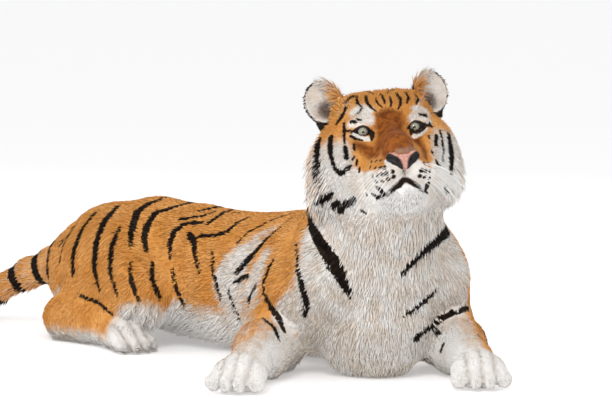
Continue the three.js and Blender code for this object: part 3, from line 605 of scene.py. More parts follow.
def make_skin():
    left_out = ("eye", "nose", "neck", "ruff", "ear")
    bm = merged_nodes(*(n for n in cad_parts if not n.startswith(left_out)))
    add_cores(bm)
    mesh = remeshed(bm, SKIN_NET)
    keep_largest(mesh)
    settle(mesh, whole_field, skin_depth, 8)
    head_middle = head.point(-20, 0, -50)
    paws = [leg.place.point(-40, 0, 20) for leg in LEGS]
    muzzle = [head.point(125, 0, -135), head.point(100, -40, -150), head.point(100, 40, -150)]
    finest = [*(e.origin for e in eye_places.values()), *muzzle]
    refine(mesh, within([head_middle], 215))
    refine(mesh, within(paws, 84))
    settle(mesh, whole_field, skin_depth, 5, within([head_middle, *paws], 260)(mesh_points(mesh)))
    refine(mesh, on_front_of_head)
    settle(mesh, whole_field, skin_depth, 5, on_front_of_head(mesh_points(mesh)))
    refine(mesh, within(finest, 32))
    settle(mesh, whole_field, skin_depth, 6, within(finest, 42)(mesh_points(mesh)))
    open_lids(mesh)
    points = mesh_points(mesh)
    points[:, 2] = np.maximum(points[:, 2], FLOOR_REST)
    set_points(mesh, points)
    return mesh


ear_places = {
    name: Place((EAR_SET, s * EAR_SPREAD, EAR_RISE), s * 24, 6, s * -24, within=head) for name, s in SIDES.items()
}


def make_ear(name):
    """An ear from its solid: an even net, thinned a little for its short fur."""
    mesh = remeshed(merged_nodes(f"ear_{name}"), EAR_NET)
    keep_largest(mesh)
    points, edges = mesh_points(mesh), mesh_edges(mesh)
    for _ in range(7):
        points += 0.6 * (neighbour_mean(points, edges) - points)
    set_points(mesh, points)
    return mesh


body_skin = make_skin()
BODY_COUNT = len(body_skin.vertices)
skin = new_object("skin", body_skin)
written(opened(body_skin, *(make_ear(name) for name in SIDES)), skin.data)
skin.data.shade_smooth()

SKIN = mesh_points(skin.data)
SKIN_NORMALS = read(skin.data.vertex_normals, "vector", 3).astype(float)
SKIN_EDGES = mesh_edges(skin.data)
ON_EAR = np.arange(len(SKIN)) >= BODY_COUNT
tree = BVHTree.FromPolygons(
    [tuple(p) for p in SKIN], [tuple(f.vertices) for f in skin.data.polygons], all_triangles=False
)

# ---------------------------------------------------------------- markings

# A mark is a chain of places on the camera's frame, each with a half width there, in pixels. It is laid
# on the skin where the line of sight meets it, so it is a true line on the animal from every side.
FACE_BARS = [
    [(320, 138, 3.2), (318.6, 145, 4.1), (318.2, 154.4, 4.2), (318.9, 166.2, 3.8), (318.3, 175, 3),
     (320.7, 185, 2.5), (324.2, 193.3, 1.8)],
    [(330.7, 137.9, 3), (330.1, 149.7, 2.9), (332.5, 161.5, 2.2), (334.2, 168.5, 1.7), (340.7, 173.8, 2.6),
     (345.5, 170.3, 1.9), (350.8, 166.2, 1.4)],
    [(344.3, 123.2, 1.5), (344.1, 129, 2), (344.3, 134.6, 1.6), (344.7, 143.6, 1)],
    [(344.9, 147.3, 1.8), (346.6, 158, 2.2)],
    [(353.7, 145, 1.2), (354.3, 149.7, 1)],
    [(353.8, 157.5, 1.3), (352.4, 160, 1.1)],
    [(357, 161, 1.3), (356.6, 164.6, 1.1)],
    [(359.8, 168, 1), (359.2, 172, 1)],
    [(354.9, 96.6, 1.7), (350, 99.4, 2.1), (345.5, 103.7, 1.7)],
    [(346.2, 108.4, 1.8), (341.3, 117.8, 2.5), (336.6, 124.3, 1.5)],
    [(361.5, 109, 1), (359.5, 111, 1.3), (358.3, 113.4, 1.3)],
    [(351.5, 121.6, 1.8), (353, 120.6, 2), (356.5, 122.2, 0.9)],
    [(356.6, 118.9, 1.2), (358.4, 119.5, 1.1), (361, 120.4, 0.5)],
    [(345, 131.5, 1.3), (350, 131, 1)],
    [(369.5, 131.5, 2), (372.5, 134.2, 2.7), (372, 138, 1.6), (371.6, 140, 0.9)],
    [(359, 131.8, 2.8), (355.5, 131.9, 1.7), (352, 132.3, 0.7)],
    [(350.5, 136, 1.2), (353.4, 137.4, 1.1), (357, 139.3, 0.7), (362.5, 140.4, 0.5)],
    [(412, 123.4, 1.3), (410.4, 127, 1.4), (411.2, 130.6, 1.7), (411, 134.4, 0.9)],
    [(411.6, 131, 1.3), (415.5, 133, 1.1), (420.5, 131.4, 1.3), (425, 127.6, 1)],
    [(421, 124.8, 2), (426, 124.8, 1.8), (431, 126, 1.1)],
    [(419.8, 114.5, 1.3), (425.7, 115.6, 1.7)],
    [(429.2, 122, 1.2), (431.6, 126.5, 1.2)],
    [(429, 136.2, 1), (429.4, 138, 1)],
    [(436.3, 135.5, 1.9), (435.7, 145, 1.9)],
    [(440, 130.8, 1.1), (442, 140, 1.3), (443.4, 149.7, 1.1), (442.2, 160.3, 0.9)],
    [(431.6, 151, 1.2), (432.4, 153.6, 1.2)],
    [(435.7, 160.3, 1), (438.7, 166.2, 1)],
    [(448.4, 134, 2), (450.5, 149.7, 3), (451.6, 163.8, 2.6), (451, 174, 1.6)],
    [(444.5, 187, 1), (447, 193, 1.4)],
    [(331.3, 194.5, 3.1), (327.6, 198, 4.1), (324.2, 201.6, 3.1)],
    [(337.8, 202, 2.7), (333.7, 207.5, 2.9)],
    [(346, 202, 2.7), (340.7, 211, 3.4)],
    [(354.5, 199.6, 2.6), (347.8, 205, 2.8)],
    [(360.8, 209.8, 1.4), (365.5, 213.4, 1.2)],
    [(366.7, 194, 1), (367, 195.4, 1)],
    [(376.6, 196, 1.3), (377.6, 198.6, 1.5)],
]
# Bars of the brow and the crown, as a tiger has them, seen from the front: left or right, up, half width.
BROW_BARS = [
    [(10, 52, 1.6), (16, 66, 2.6), (17, 82, 1.6)],
    [(26, 44, 1.4), (36, 58, 3), (40, 76, 3.2), (36, 92, 1.8)],
    [(0, 62, 1.6), (0, 78, 2.6), (0, 94, 1.6)],
    [(52, 60, 1.6), (62, 74, 3.2), (58, 92, 2.2)],
    [(14, 94, 1.6), (26, 102, 3), (44, 104, 2)],
]
LEFT_BROW_BAR = [(76, 58, 1.6), (86, 72, 2.8), (82, 88, 1.8)]
LIP_MARKS = [
    [(377.6, 187.6, 2.8), (381, 190.6, 3.5), (384.2, 195.2, 2.8)],
    [(427.6, 183.6, 3.1), (426.5, 188.8, 3.5)],
    [(372, 194, 1.6), (378, 197, 1.8)],
]
PAD_DOTS = [
    [(371.4, 161.8), (376, 160.9), (380.8, 160.3)],
    [(370.2, 167.4), (375, 168), (379.7, 168), (384.4, 167.4)],
    [(372.6, 176.2), (377.3, 175.6), (382, 174.4), (386.7, 173.3), (392.6, 171.5)],
    [(376, 181.5), (382, 181), (388, 179.2), (393.8, 176.8)],
    [(424.5, 163.4), (428.6, 163.8)],
    [(421.5, 170.6), (425.7, 171.2), (429.8, 171.5)],
    [(419.8, 176.2), (424.6, 177.2), (429.6, 178)],
]
BODY_BARS = [
    [(160, 199.5, 2), (145, 205.8, 3), (136.8, 213, 3.4), (133.5, 222, 3), (131, 234, 2.4), (131, 247, 1.4)],
    [(200, 201, 2), (178.9, 205.8, 2.6), (155.7, 213, 3.2), (147.3, 224.7, 3.2), (144, 238, 2.6),
     (146, 252, 1.6)],
    [(172.6, 196.4, 1.6), (160, 198.8, 1.2)],
    [(237.8, 205.8, 1.2), (221, 206.6, 2.2), (200, 211, 2)],
    [(216.8, 211, 1), (202, 216.3, 1.5), (178.9, 219.5, 1.3)],
    [(202, 222.6, 1.6), (185.2, 223.7, 2.8), (174.7, 231, 2.8), (170, 243, 2.2), (170, 257, 1.5)],
    [(237.8, 207.9, 1), (223, 213, 2.1), (208.4, 223.7, 2)],
    [(250.4, 216.3, 1.2), (237.8, 222.6, 2.1), (227.3, 232, 2.2), (214.7, 235.2, 1.8), (200, 236, 1.4)],
    [(189.4, 234, 2.4), (193.6, 241, 3), (195, 255, 2.2), (200, 272, 1.4)],
    [(263, 210, 1), (248.3, 212, 1.4), (231.5, 213, 0.9)],
    [(301, 209.6, 0.8), (286, 210, 1.1), (275.7, 211.5, 0.9)],
    [(301, 210.5, 0.6), (273.6, 219.5, 0.9), (248.3, 232, 1), (237.8, 242.6, 0.9)],
    [(294.6, 215.3, 0.7), (267.3, 238.4, 1.2), (257, 250, 2), (248, 260, 3.2), (236.5, 273, 2.2)],
    [(248.3, 275.2, 1.4), (233.6, 282.6, 1.4)],
    [(273.6, 259.5, 1.1), (267.3, 271, 1.1)],
    [(267.3, 274.2, 1.4), (263.4, 284, 1.6), (263.8, 293, 1.9), (271.5, 307.9, 2.3), (280, 320.5, 2.6),
     (284, 331, 2.2)],
    [(256.8, 282.6, 0.8), (248.3, 301.5, 1)],
    [(296.7, 242.6, 1), (297.8, 270, 1.6), (303, 291, 2.7), (307.3, 303.6, 2.7), (305.2, 316.3, 1.2)],
    [(308.4, 209, 2), (312, 227.9, 4), (322.5, 245.5, 6), (333, 263, 6.4), (344, 284, 4.4), (350, 296, 1.6)],
    [(455, 214, 2.2), (451.5, 226, 3.4), (443, 235, 5), (434, 242, 5.4), (424, 250, 4.6), (412, 262, 3),
     (401, 276, 1.4)],
    [(436.7, 289.5, 1.6), (417.6, 307, 2.1), (404.4, 315.9, 1.4)],
    [(470.8, 307.5, 1.9), (458.8, 310.7, 2.6), (446, 315.5, 3), (435, 322, 3.1), (430, 327.4, 2.4),
     (423, 332, 2.4), (414.6, 338.6, 3)],
    [(433, 331, 1.6), (438.6, 334.6, 1.7), (443, 331.5, 1)],
    [(444, 344, 1.2), (440.6, 352, 1.5)],
    # The lower bars of the flank and the thigh.
    [(118, 206, 2), (104, 222, 3), (96, 244, 3), (94, 268, 2.6), (100, 290, 1.6)],
    [(96, 212, 1.6), (82, 230, 2.4), (74, 252, 2.6), (73, 276, 1.8)],
    [(120, 226, 1.2), (112, 246, 2.2), (110, 270, 2.2), (117, 294, 1.6)],
    [(131, 262, 1.2), (131, 282, 2), (139, 302, 1.4)],
    [(152, 262, 1.4), (152, 280, 2), (160, 300, 1.2)],
    [(78, 222, 1.2), (66, 240, 1.8), (60, 262, 1.4)],
    [(172, 268, 1.3), (176, 290, 1.8), (186, 308, 1.2)],
    [(212, 250, 1.1), (213, 272, 2), (221, 300, 1.4)],
    [(228, 288, 1), (234, 308, 1.5), (242, 322, 1)],
    [(80, 296, 1.2), (98, 302, 1.6), (112, 314, 1)],
    [(262, 318, 1), (274, 328, 1.6), (279, 340, 1.2)],
]
RUST_AREAS = [
    [(390, 121, 15), (393, 133, 20), (397, 143, 21), (401, 148, 15)],
    [(382, 133, 5), (379, 145, 6), (377, 155, 4)],
    [(416, 139, 5), (424, 150, 4), (426, 159, 3)],
    [(355, 144, 1.6), (361, 147, 3), (368, 150, 5), (373, 155, 4)],
]
ABOVE_NOSE = [[(397, 151, 1.6), (405, 150.4, 2.4), (414, 149.6, 1.6)]]
SOFT_WHITE = [
    [(351, 124, 2.4), (358, 120, 5), (366, 117, 6), (369.5, 120.5, 3)],
    [(354, 113, 3.6), (361, 109, 5.4), (368, 111, 4)],
    [(411.5, 118, 2), (417, 115, 4.2), (424, 117, 4.2), (429, 121, 2.6)],
    [(416, 110, 3.4), (421, 109, 4.4), (426.5, 112.5, 3.4)],
]
WHITE_AREAS = [
    [(352.5, 134, 1), (356.6, 135.9, 1.5), (360, 137.9, 1.5), (364, 138.7, 1.4), (368.7, 138.7, 1.7)],
    [(414, 136.4, 1.4), (420, 133.8, 1.3), (426.4, 128.6, 1.1)],
    [(388, 160, 3), (392, 168, 4), (376, 180, 5)],
]
PALE_BODY = [
    [(258, 240, 5), (248, 250, 10), (236, 264, 16), (228, 285, 18), (232, 300, 16)],
    [(266, 254, 4), (258, 270, 7), (250, 290, 9)],
    [(312, 232, 9), (309, 262, 8), (318, 300, 16)],
    [(317, 196, 7), (318, 212, 7), (320, 230, 8)],
    [(296, 300, 10), (284, 312, 10), (288, 330, 12)],
    [(425, 262, 14), (432, 300, 14), (430, 345, 12)],
    [(330, 330, 16), (332, 346, 22), (350, 350, 20)],
    [(444, 322, 8), (454, 338, 10), (462, 352, 9)],
]
# Where orange and cream run into each other.
CREAM_BODY = [
    [(274, 228, 3), (264, 235, 6), (254, 242, 10)],
    [(256, 300, 8), (246, 320, 13), (236, 345, 15), (228, 365, 12)],
    [(456, 305, 10), (466, 330, 10), (474, 355, 10)],
    [(264, 322, 6), (258, 340, 9), (251, 350, 8)],
]
TAN_FORELEG = [[(262, 312, 6), (250, 326, 9), (238, 341, 10), (226, 354, 7)]]
# Bars that the viewer doesn't see. The nape's and the rump's are seen from behind: left or right, up and half
# width. Those of the left shoulder and foreleg are seen from the side: forward, up and half width.
NAPE_BARS = [
    [(-92, 372, 3), (-50, 396, 7), (-8, 402, 4)],
    [(14, 420, 4), (58, 412, 7), (98, 384, 3)],
    [(-112, 430, 3), (-70, 452, 7), (-26, 460, 5), (6, 452, 3)],
    [(20, 486, 4), (64, 480, 7), (112, 452, 4)],
    [(-104, 504, 4), (-60, 520, 7), (-14, 524, 4)],
    [(0, 560, 3), (44, 556, 7), (92, 532, 5), (118, 508, 3)],
    [(-96, 580, 4), (-48, 598, 7), (-4, 592, 3)],
    [(-84, 650, 3), (-44, 664, 6), (-16, 652, 3)],
    [(20, 676, 3), (56, 672, 5), (84, 650, 3)],
]
LEFT_BARS = [
    [(-30, 330, 3), (-58, 282, 7), (-56, 226, 7), (-26, 176, 3)],
    [(-112, 352, 3), (-140, 296, 8), (-140, 232, 7), (-110, 182, 3)],
    [(-196, 356, 3), (-226, 304, 7), (-222, 250, 6), (-204, 204, 3)],
    [(60, 128, 3), (84, 96, 6), (92, 66, 3)],
    [(140, 108, 3), (160, 82, 5), (164, 56, 3)],
]
RUMP_BARS = [
    [(s * 50, 344, 3), (s * 84, 326, 7), (s * 112, 282, 7), (s * 112, 232, 3)] for s in SIGNS
]
# The hidden backs of the cheeks and the side of the neck: forward, up and half width.
RUFF_BARS = [
    [(-98, -24, 2), (-110, -76, 5), (-108, -130, 5), (-90, -172, 2)],
    [(-140, -10, 2), (-156, -70, 5), (-150, -120, 3)],
]
NECK_BARS = [
    [(-30, 500, 2), (-4, 462, 6), (30, 420, 6), (64, 392, 3)],
    [(-92, 470, 2), (-70, 420, 6), (-36, 376, 4)],
]


def rise(x, low, high):
    """A soft step: none up to the low end, all from the high end on."""
    t = np.clip((x - low) / (high - low), 0, 1)
    return t * t * (3 - 2 * t)


def fall(x, low, high):
    """A soft step down: all up to the low end, none from the high end on."""
    return rise(-x, -high, -low)


def arc_lengths(points):
    return np.concatenate([[0], np.cumsum(np.linalg.norm(np.diff(points, axis=0), axis=1))])


def whole_lines(found):
    """The lines of which more than one point has met the animal."""
    return [np.array(rows) for rows in found if len(rows) > 1]


def in_sight(px, py):
    """The point of the skin, if any, where the line of sight through a place on the camera's frame meets it."""
    way = RIGHT * (px - IMAGE_WIDTH / 2) + UP * (IMAGE_HEIGHT / 2 - py) - BACK * PIXELS_PER_UNIT
    return tree.ray_cast(Vector(EYEPOINT), Vector(unit(way)))[0]


LAY_EVERY = 3.0  # pixels from one point of a laid mark to the next
MIRROR_REACH = 120  # a mirrored point lands on the skin no further away than this
FACE_REACH = 350
BROW_WIDER, THROWN_WIDER = 1.25, 1.4


def laid(marks, more=0.9):
    """Each mark as points on the skin with half widths in millimetres. A point off the animal is dropped."""
    found = []
    for chain in marks:
        chain = np.array(chain, float)
        reach = arc_lengths(chain[:, :2])
        steps = np.linspace(0, reach[-1], max(2, int(reach[-1] / LAY_EVERY) + 1))
        found.append([])
        for px, py, half in np.stack([np.interp(steps, reach, chain[:, k]) for k in range(3)], 1):
            hit = in_sight(px, py)
            if hit is not None:
                away = np.linalg.norm(np.array(hit) - EYEPOINT)
                found[-1].append((*hit, half * away / PIXELS_PER_UNIT + more))
    return whole_lines(found)


def mirrored(lines):
    """The same lines on the other side of the spine, set on the skin there."""
    found = []
    for line in lines:
        points = hind.origin + (hind.local(line[:, :3]) * [1, -1, 1]) @ hind.axes.T
        found.append([])
        for p, half in zip(points, line[:, 3]):
            hit, _, _, away = tree.find_nearest(Vector(p))
            if away < MIRROR_REACH:
                found[-1].append((*hit, half))
    return whole_lines(found)


def on_front(places, side):
    """A line on the skin in front of places on the head's cross plane."""
    rows = []
    for y, z, half in places:
        hit = tree.ray_cast(Vector(head.point(260, side * y, z)), Vector(-head.axes[:, 0]))
        if hit[0] is not None and hit[3] < FACE_REACH:
            rows.append((*hit[0], BROW_WIDER * half))
    return np.array(rows)


def thrown(bars, place, from_behind, side=1):
    """Bars laid on the skin from behind a place, or else from one side of it."""
    found = []
    for bar in bars:
        bar = np.array(bar, float)
        steps = np.linspace(0, len(bar) - 1, 4 * len(bar))
        found.append([])
        for u, z, half in np.stack([np.interp(steps, np.arange(len(bar)), bar[:, k]) for k in range(3)], 1):
            start = place.point(-1500, u, z) if from_behind else place.point(u, side * 900, z)
            way = place.axes[:, 0] if from_behind else -side * place.axes[:, 1]
            hit = tree.ray_cast(Vector(start), Vector(way))[0]
            if hit is not None:
                found[-1].append((*hit, THROWN_WIDER * half))
    return whole_lines(found)


def edge_distance(points, lines, reach=40.0):
    """The signed distance from each point to the nearest line's edge, below zero inside, up to a reach."""
    nearest = np.full(len(points), reach)
    for line in lines:
        half = line[:, 3].max()
        low, high = line[:, :3].min(0) - reach - half, line[:, :3].max(0) + reach + half
        inside = np.flatnonzero(((points > low) & (points < high)).all(1))
        if not len(inside):
            continue
        best = np.full(len(inside), reach)
        for a, b in zip(line, line[1:]):
            t, away = nearest_on(points[inside], a[:3], b[:3])
            best = np.minimum(best, away - a[3] - (b[3] - a[3]) * t)
        nearest[inside] = np.minimum(nearest[inside], best)
    return nearest


def painted(p, lines, outer, inner, reach=30):
    """The share of a mark at each point: none at `outer` beyond its edge, all at `inner` within it."""
    return rise(-edge_distance(p, lines, reach), -outer, inner)


# The bars of the hindquarters are mirrored, apart from what lies near the spine.
HIND_FROM, SPINE_CLEAR = -250, 34
seen_bars = laid(BODY_BARS, more=2.2)
hind_bars = [line for line in seen_bars if line[:, 0].mean() < HIND_FROM]
DARK_LINES = [
    *seen_bars,
    *mirrored([bar[bar[:, 1] < SPINE_Y - SPINE_CLEAR] for bar in hind_bars]),
    *laid(FACE_BARS + LIP_MARKS),
    *(on_front(bar, s) for bar in BROW_BARS for s in SIGNS),
    on_front(LEFT_BROW_BAR, 1),
    *thrown(NAPE_BARS, chest, True),
    *thrown(LEFT_BARS, chest, False),
    *thrown(RUMP_BARS, hind, True),
    *thrown(RUFF_BARS, head, False),
    *thrown(RUFF_BARS, head, False, -1),
    *thrown(NECK_BARS, chest, False),
]
LIP_WIDTHS = (9, 8.2, 7.2, 6.4, 6, 5)
FINE_LINES = [
    np.array([(*on_face(s * y, z - 2 - w / 3, 5), w) for (y, z), w in zip(MOUTH_PLACES, LIP_WIDTHS)]) for s in SIGNS
] + [np.array([(*on_face(y, z, 3), 3.1) for y, z in PHILTRUM_PLACES])]
FINE_LINES += [
    np.array([(*in_sight(*dot), 4.2 if n in (0, 4) else 5.6)] * 2) for n, row in enumerate(PAD_DOTS) for dot in row
]
RUST_LINES, ABOVE_NOSE_LINES = laid(RUST_AREAS), laid(ABOVE_NOSE)
WHITE_LINES, SOFT_WHITE_LINES = laid(WHITE_AREAS), laid(SOFT_WHITE)
PALE_LINES, CREAM_LINES, TAN_LINES = laid(PALE_BODY), laid(CREAM_BODY), laid(TAN_FORELEG)

tail_reach = arc_lengths(tail_points)
TAIL_RING_EVERY, TAIL_RING_HALF, TAIL_TIP = 92, 15, 60
TAIL_FROM, TAIL_ROUND = 90, 95  # its markings start here, and reach this far from its middle line


def along_tail(p):
    """How far along the tail each point lies, and whether it is on it."""
    best, place = np.full(len(p), 1e9), np.zeros(len(p))
    for n, (a, b) in enumerate(zip(tail_points, tail_points[1:])):
        t, away = nearest_on(p, a, b)
        nearer = away < best
        best[nearer] = away[nearer]
        place[nearer] = (tail_reach[n] + t * (tail_reach[n + 1] - tail_reach[n]))[nearer]
    return place, (place > TAIL_FROM) & (best < TAIL_ROUND)


def nostrils(p):
    """The distance to the painted shade behind the nostrils, roughly: the skin there is black so that they look deep.
    """
    q = head.local(p)
    q[:, 1] = np.abs(q[:, 1])
    return nearest_on(q, np.array(nose_at(-5, 9, -8), float), np.array(nose_at(-10, 26, 4), float))[1] - 9


def ears(p, normal, on_ear):
    """For each ear: its sign, its place, each point's y and z there, and which are its own and on its front."""
    y_of_head = head.local(p)[:, 1]
    for name, s in SIDES.items():
        place = ear_places[name]
        _, y, z = place.local(p).T
        yield s, place, y, z, on_ear & (np.sign(y_of_head) == s), normal @ place.axes[:, 0] > -0.1


def dark_edges(p, normal, on_ear):
    """For points on the skin: the signed distance to the nearest dark edge."""
    dark = np.minimum(edge_distance(p, DARK_LINES), edge_distance(p, FINE_LINES, 12))
    for place in eye_places.values():
        x, y, z = place.local(p).T
        rim = np.abs(z) - 13.6 * (1 - np.minimum(np.abs(y) / 26, 2) ** 1.7)
        dark = np.minimum(dark, np.where((x > -12) & (x < 40), rim, 40))
    # Painted shade: the skin and coat just behind the nostrils turn black, for the shade inside them.
    dark = np.minimum(dark, nostrils(p) - 3)
    place, on_tail = along_tail(p)
    ring = np.abs((place / TAIL_RING_EVERY + 0.5) % 1 - 0.5) * TAIL_RING_EVERY - TAIL_RING_HALF
    ring = np.minimum(ring, tail_reach[-1] - TAIL_TIP - place)
    dark = np.where(on_tail, np.minimum(dark, ring), dark)
    # The ears have a dark rim, and black backs with a pale spot.
    for s, _, y, z, own, front in ears(p, normal, on_ear):
        back_spot = np.maximum(20 - np.hypot(y, z - 10), -22 - z)
        edge = (1 - np.hypot(y / (EAR_WIDTH / 2), z / (EAR_LENGTH / 2))) * 46 - 6.5
        edge += 6 * rise(-s * y, -6, 22)
        dark = np.where(own, np.where(front, edge, back_spot), dark)
    return dark


# How high the white of the muzzle and cheeks reaches, by the distance from the face's middle.
WHITE_TO = (
    [0, 26, 33, 38, 47, 60, 67, 74, 82, 92, 106, 130],
    [-104, -88, -84, -100, -114, -123, -118, -106, -96, -84, -70, -60],
)


def head_white(p, normal):
    """The head's share of white: muzzle, cheeks, temples, brows and chin. Over 1 it is a purer, brighter white: painted
    light on the chin and the lower cheeks.
    """
    x, y, z = head.local(p).T
    side = np.abs(y)
    cheek = rise(side, 80, 112) * fall(z, -34, 22)
    temple = rise(side, 50, 90) * rise(z, 20, 60) * rise(x, -90, -30)
    areas = [
        rise(np.interp(side, *WHITE_TO) - z, -12, 14),
        (0.72 + 0.5 * fall(z, -70, -10)) * cheek,
        0.28 * temple,
        painted(p, WHITE_LINES, 4, 2),
        painted(p, SOFT_WHITE_LINES, 13, 7),
    ]
    white = np.max(areas, axis=0) * rise(normal @ head.axes[:, 0], -0.75, -0.2)
    # Painted light: the chin faces down, and its white is pushed over 1 so that it shows brighter, as if lit from
    # below.
    chin = rise(x, 0, 60) * fall(z, -166, -150) * rise(z, -250, -206)
    white += 0.5 * chin * fall(side, 40, 98)
    return white * (1 - 0.45 * rise(side, 158, 178) * rise(z, -190, -120))


def body_white(p, normal):
    """The body's share of white: chest, belly, the legs' inner sides, the paws and the laid areas."""
    x, y, z = p.T
    forward, left, _ = chest.local(p).T
    turned = normal @ chest.axes[:, 0] + 0.55 * rise(z, 300, 400)
    front = rise(turned, 0.3, 0.75) * rise(forward, -40, 30)
    under = fall(normal[:, 2], -0.6, -0.15)
    fore_inner = rise(-np.sign(left) * (normal @ chest.axes[:, 1]), 0.0, 0.6)
    hind_inner = rise(-np.sign(y - SPINE_Y) * normal[:, 1], 0.2, 0.8)
    inner = np.where(x > -320, fore_inner, hind_inner) * fall(z, 150, 240)
    from_toes = np.min([np.linalg.norm(p - leg.toes, axis=1) for leg in LEGS], axis=0)
    low = np.maximum(fall(from_toes, 66, 122), 0.55 * fall(z, 25, 70))
    high = rise(z, 280, 345) * fall(x, -230, -150)
    pale = 0.92 * painted(p, PALE_LINES, 26, 12, 60) * (1 - 0.5 * high)
    cream = 0.56 * painted(p, CREAM_LINES, 30, 14, 60)
    white = np.max([front, under, inner, low, pale, cream], axis=0)
    white *= 1 - 0.38 * painted(p, TAN_LINES, 34, 8, 60)
    breast = rise(forward, 20, 60) * fall(np.abs(left), 130, 175) * fall(z, 280, 330)
    # Painted light: the paws are white, and near them the white runs over 1, to a brighter white, for light thrown up
    # from the ground.
    white = np.maximum(white, breast) * (1 + 0.3 * fall(from_toes, 160, 340))
    return np.where(along_tail(p)[1], 0.25, white)


def shares(p, normal, on_ear):
    """For points on the skin: shares of white and of rust, how far each belongs to the head, and of grey."""
    x, y, z = head.local(p).T
    on_head = np.clip(0.5 + (body_field(p) - head_field(p)) / 60, 0, 1)
    on_head = np.maximum(on_head, rise(x, -70, -10) * rise(z, -226, -186))
    own_white = head_white(p, normal)
    white = on_head * own_white + (1 - on_head) * body_white(p, normal)
    middle = 0.52 * fall(np.abs(y), 46, 82) * fall(z, -6, 26) * (x > 0)
    rust = np.maximum(painted(p, RUST_LINES, 14, 6), middle) * (1 - own_white)
    # Grey lies just above the nose and in the ears as the coat's own colour; under the chin and between the toes it is
    # painted shade.
    grey = np.maximum(0.5 * painted(p, ABOVE_NOSE_LINES, 9, 5), 0.4 * fall(z, -232, -216) * rise(x, -20, 30))
    grey = np.maximum(grey * on_head, 0.5 * toe_gaps(p) * near_toes(p))
    # The ears are pale inside with a dark middle, and orange at the inner edge.
    for s, _, y, z, own, front in ears(p, normal, on_ear):
        inside = 1 - 0.95 * rise(-s * y, 10, 34) * fall(z, -10, 44)
        white = np.where(own, np.where(front, inside, rise(z, -20, 0)), white)
        rust = np.where(own, 0, rust)
        from_middle = np.hypot(y - s * 4, (z + 14) * 0.8)
        grey = np.where(own & front, 0.16 + 1.1 * fall(from_middle, 8, 37), grey)
    return white, rust, on_head, grey


# ---------------------------------------------------------------- the lie of the coat

# Sizes of the coat: the hair's length, its tuft's width, its lift off the skin in degrees, and the spacing
# of the roots. For the neck, how far the hair hangs comes first.
SPINE_COAT, BLADE_COAT, BREAST_COAT = (27, 3.9, 11, 5.6), (26, 3.8, 11, 5.4), (34, 3.1, 13, 4.7)
NECK_COAT = [(0.4, 32, 3.7, 14, 5), (0.5, 30, 3.4, 14, 5), (1.0, 40, 3.3, 14, 5)]
FORELEG_COAT = [(24, 3.8, 12, 5.2), (19, 3.4, 12, 4.6), (15, 3, 12, 4.1)]
HINDLEG_COAT = [(27, 3.9, 12, 5.6), (27, 3.9, 12, 5.6), (20, 3.5, 12, 4.9), (13, 3, 12, 4)]
FOREPAW_COAT, HINDPAW_COAT, TAIL_COAT = (9, 2.6, 12, 3.5), (9, 2.6, 12, 3.6), (26, 3.8, 14, 5.4)
EAR_WIDTH_LIFT_SPACING = (2.3, 16.0, 3.2)
# The head's hair: its length by the distance from the nose, then the other sizes by its length.
LENGTH_BY_REACH = ([30, 70, 120, 200, 280], [4, 5.5, 8, 12, 18])
SIZES_BY_LENGTH = [[5, 12, 30, 80], [1.7, 2.1, 3.0, 4.6], [20, 17, 17, 24], [2.5, 2.75, 3.7, 5.1]]
FLOW_REACH = 38  # how far each part's own lie is felt
NOSE_TOP = np.array([136, 0, -84])


def flows():
    """Each part's field, the way in which it lays the coat, and the coat's sizes there."""
    down, back = np.array([0, 0, -1.0]), chest.direction(-1, 0, 0)
    rows = []
    for (a, _), (b, _), field in zip(SPINE_CHAIN, SPINE_CHAIN[1:], spine_rods):
        rows.append((field, unit(b - a) + 0.5 * down, *SPINE_COAT))
    rows += [(field, back + 0.7 * down, *BLADE_COAT) for field in blade_rods]
    rows += [(field, down + 0.12 * back, *BREAST_COAT) for field in breast_masses]
    for field, (a, b, _, _), (hang, *sizes) in zip(neck_rods, NECK_RODS, NECK_COAT):
        rows.append((field, unit(a - b) + hang * down, *sizes))
    for leg in forelegs.values():
        for field, (a, b), sizes in zip(leg.rods, leg.ends, FORELEG_COAT):
            rows.append((field, unit(b - a) + 0.3 * down, *sizes))
        rows.append((leg.paw, unit(leg.toes - leg.wrist), *FOREPAW_COAT))
    for leg in hindlegs.values():
        for n, (field, (a, b), sizes) in enumerate(zip(leg.rods, leg.ends, HINDLEG_COAT)):
            rows.append((field, np.array([-0.5, 0, -1]) if n < 2 else unit(b - a), *sizes))
        rows.append((leg.paw, unit(leg.toes - leg.wrist), *HINDPAW_COAT))
    for a, b, field in zip(tail_points, tail_points[1:], tail_rods):
        rows.append((field, unit(b - a), *TAIL_COAT))
    return rows


FLOW_ROWS = flows()


def body_lie(p, normal):
    weight, way, sizes = np.zeros(len(p)), np.zeros((len(p), 3)), np.zeros((len(p), 4))
    for field, direction, *numbers in FLOW_ROWS:
        w = np.exp(-((field(p) + 8) / FLOW_REACH) ** 2) + 1e-9
        weight += w
        way += w[:, None] * direction
        sizes += w[:, None] * np.array(numbers, float)
    way /= weight[:, None]
    sizes /= weight[:, None]
    sizes[:, 0] += 18 * fall(normal[:, 2], -0.8, -0.2) * (p[:, 0] < -150)
    return way, sizes


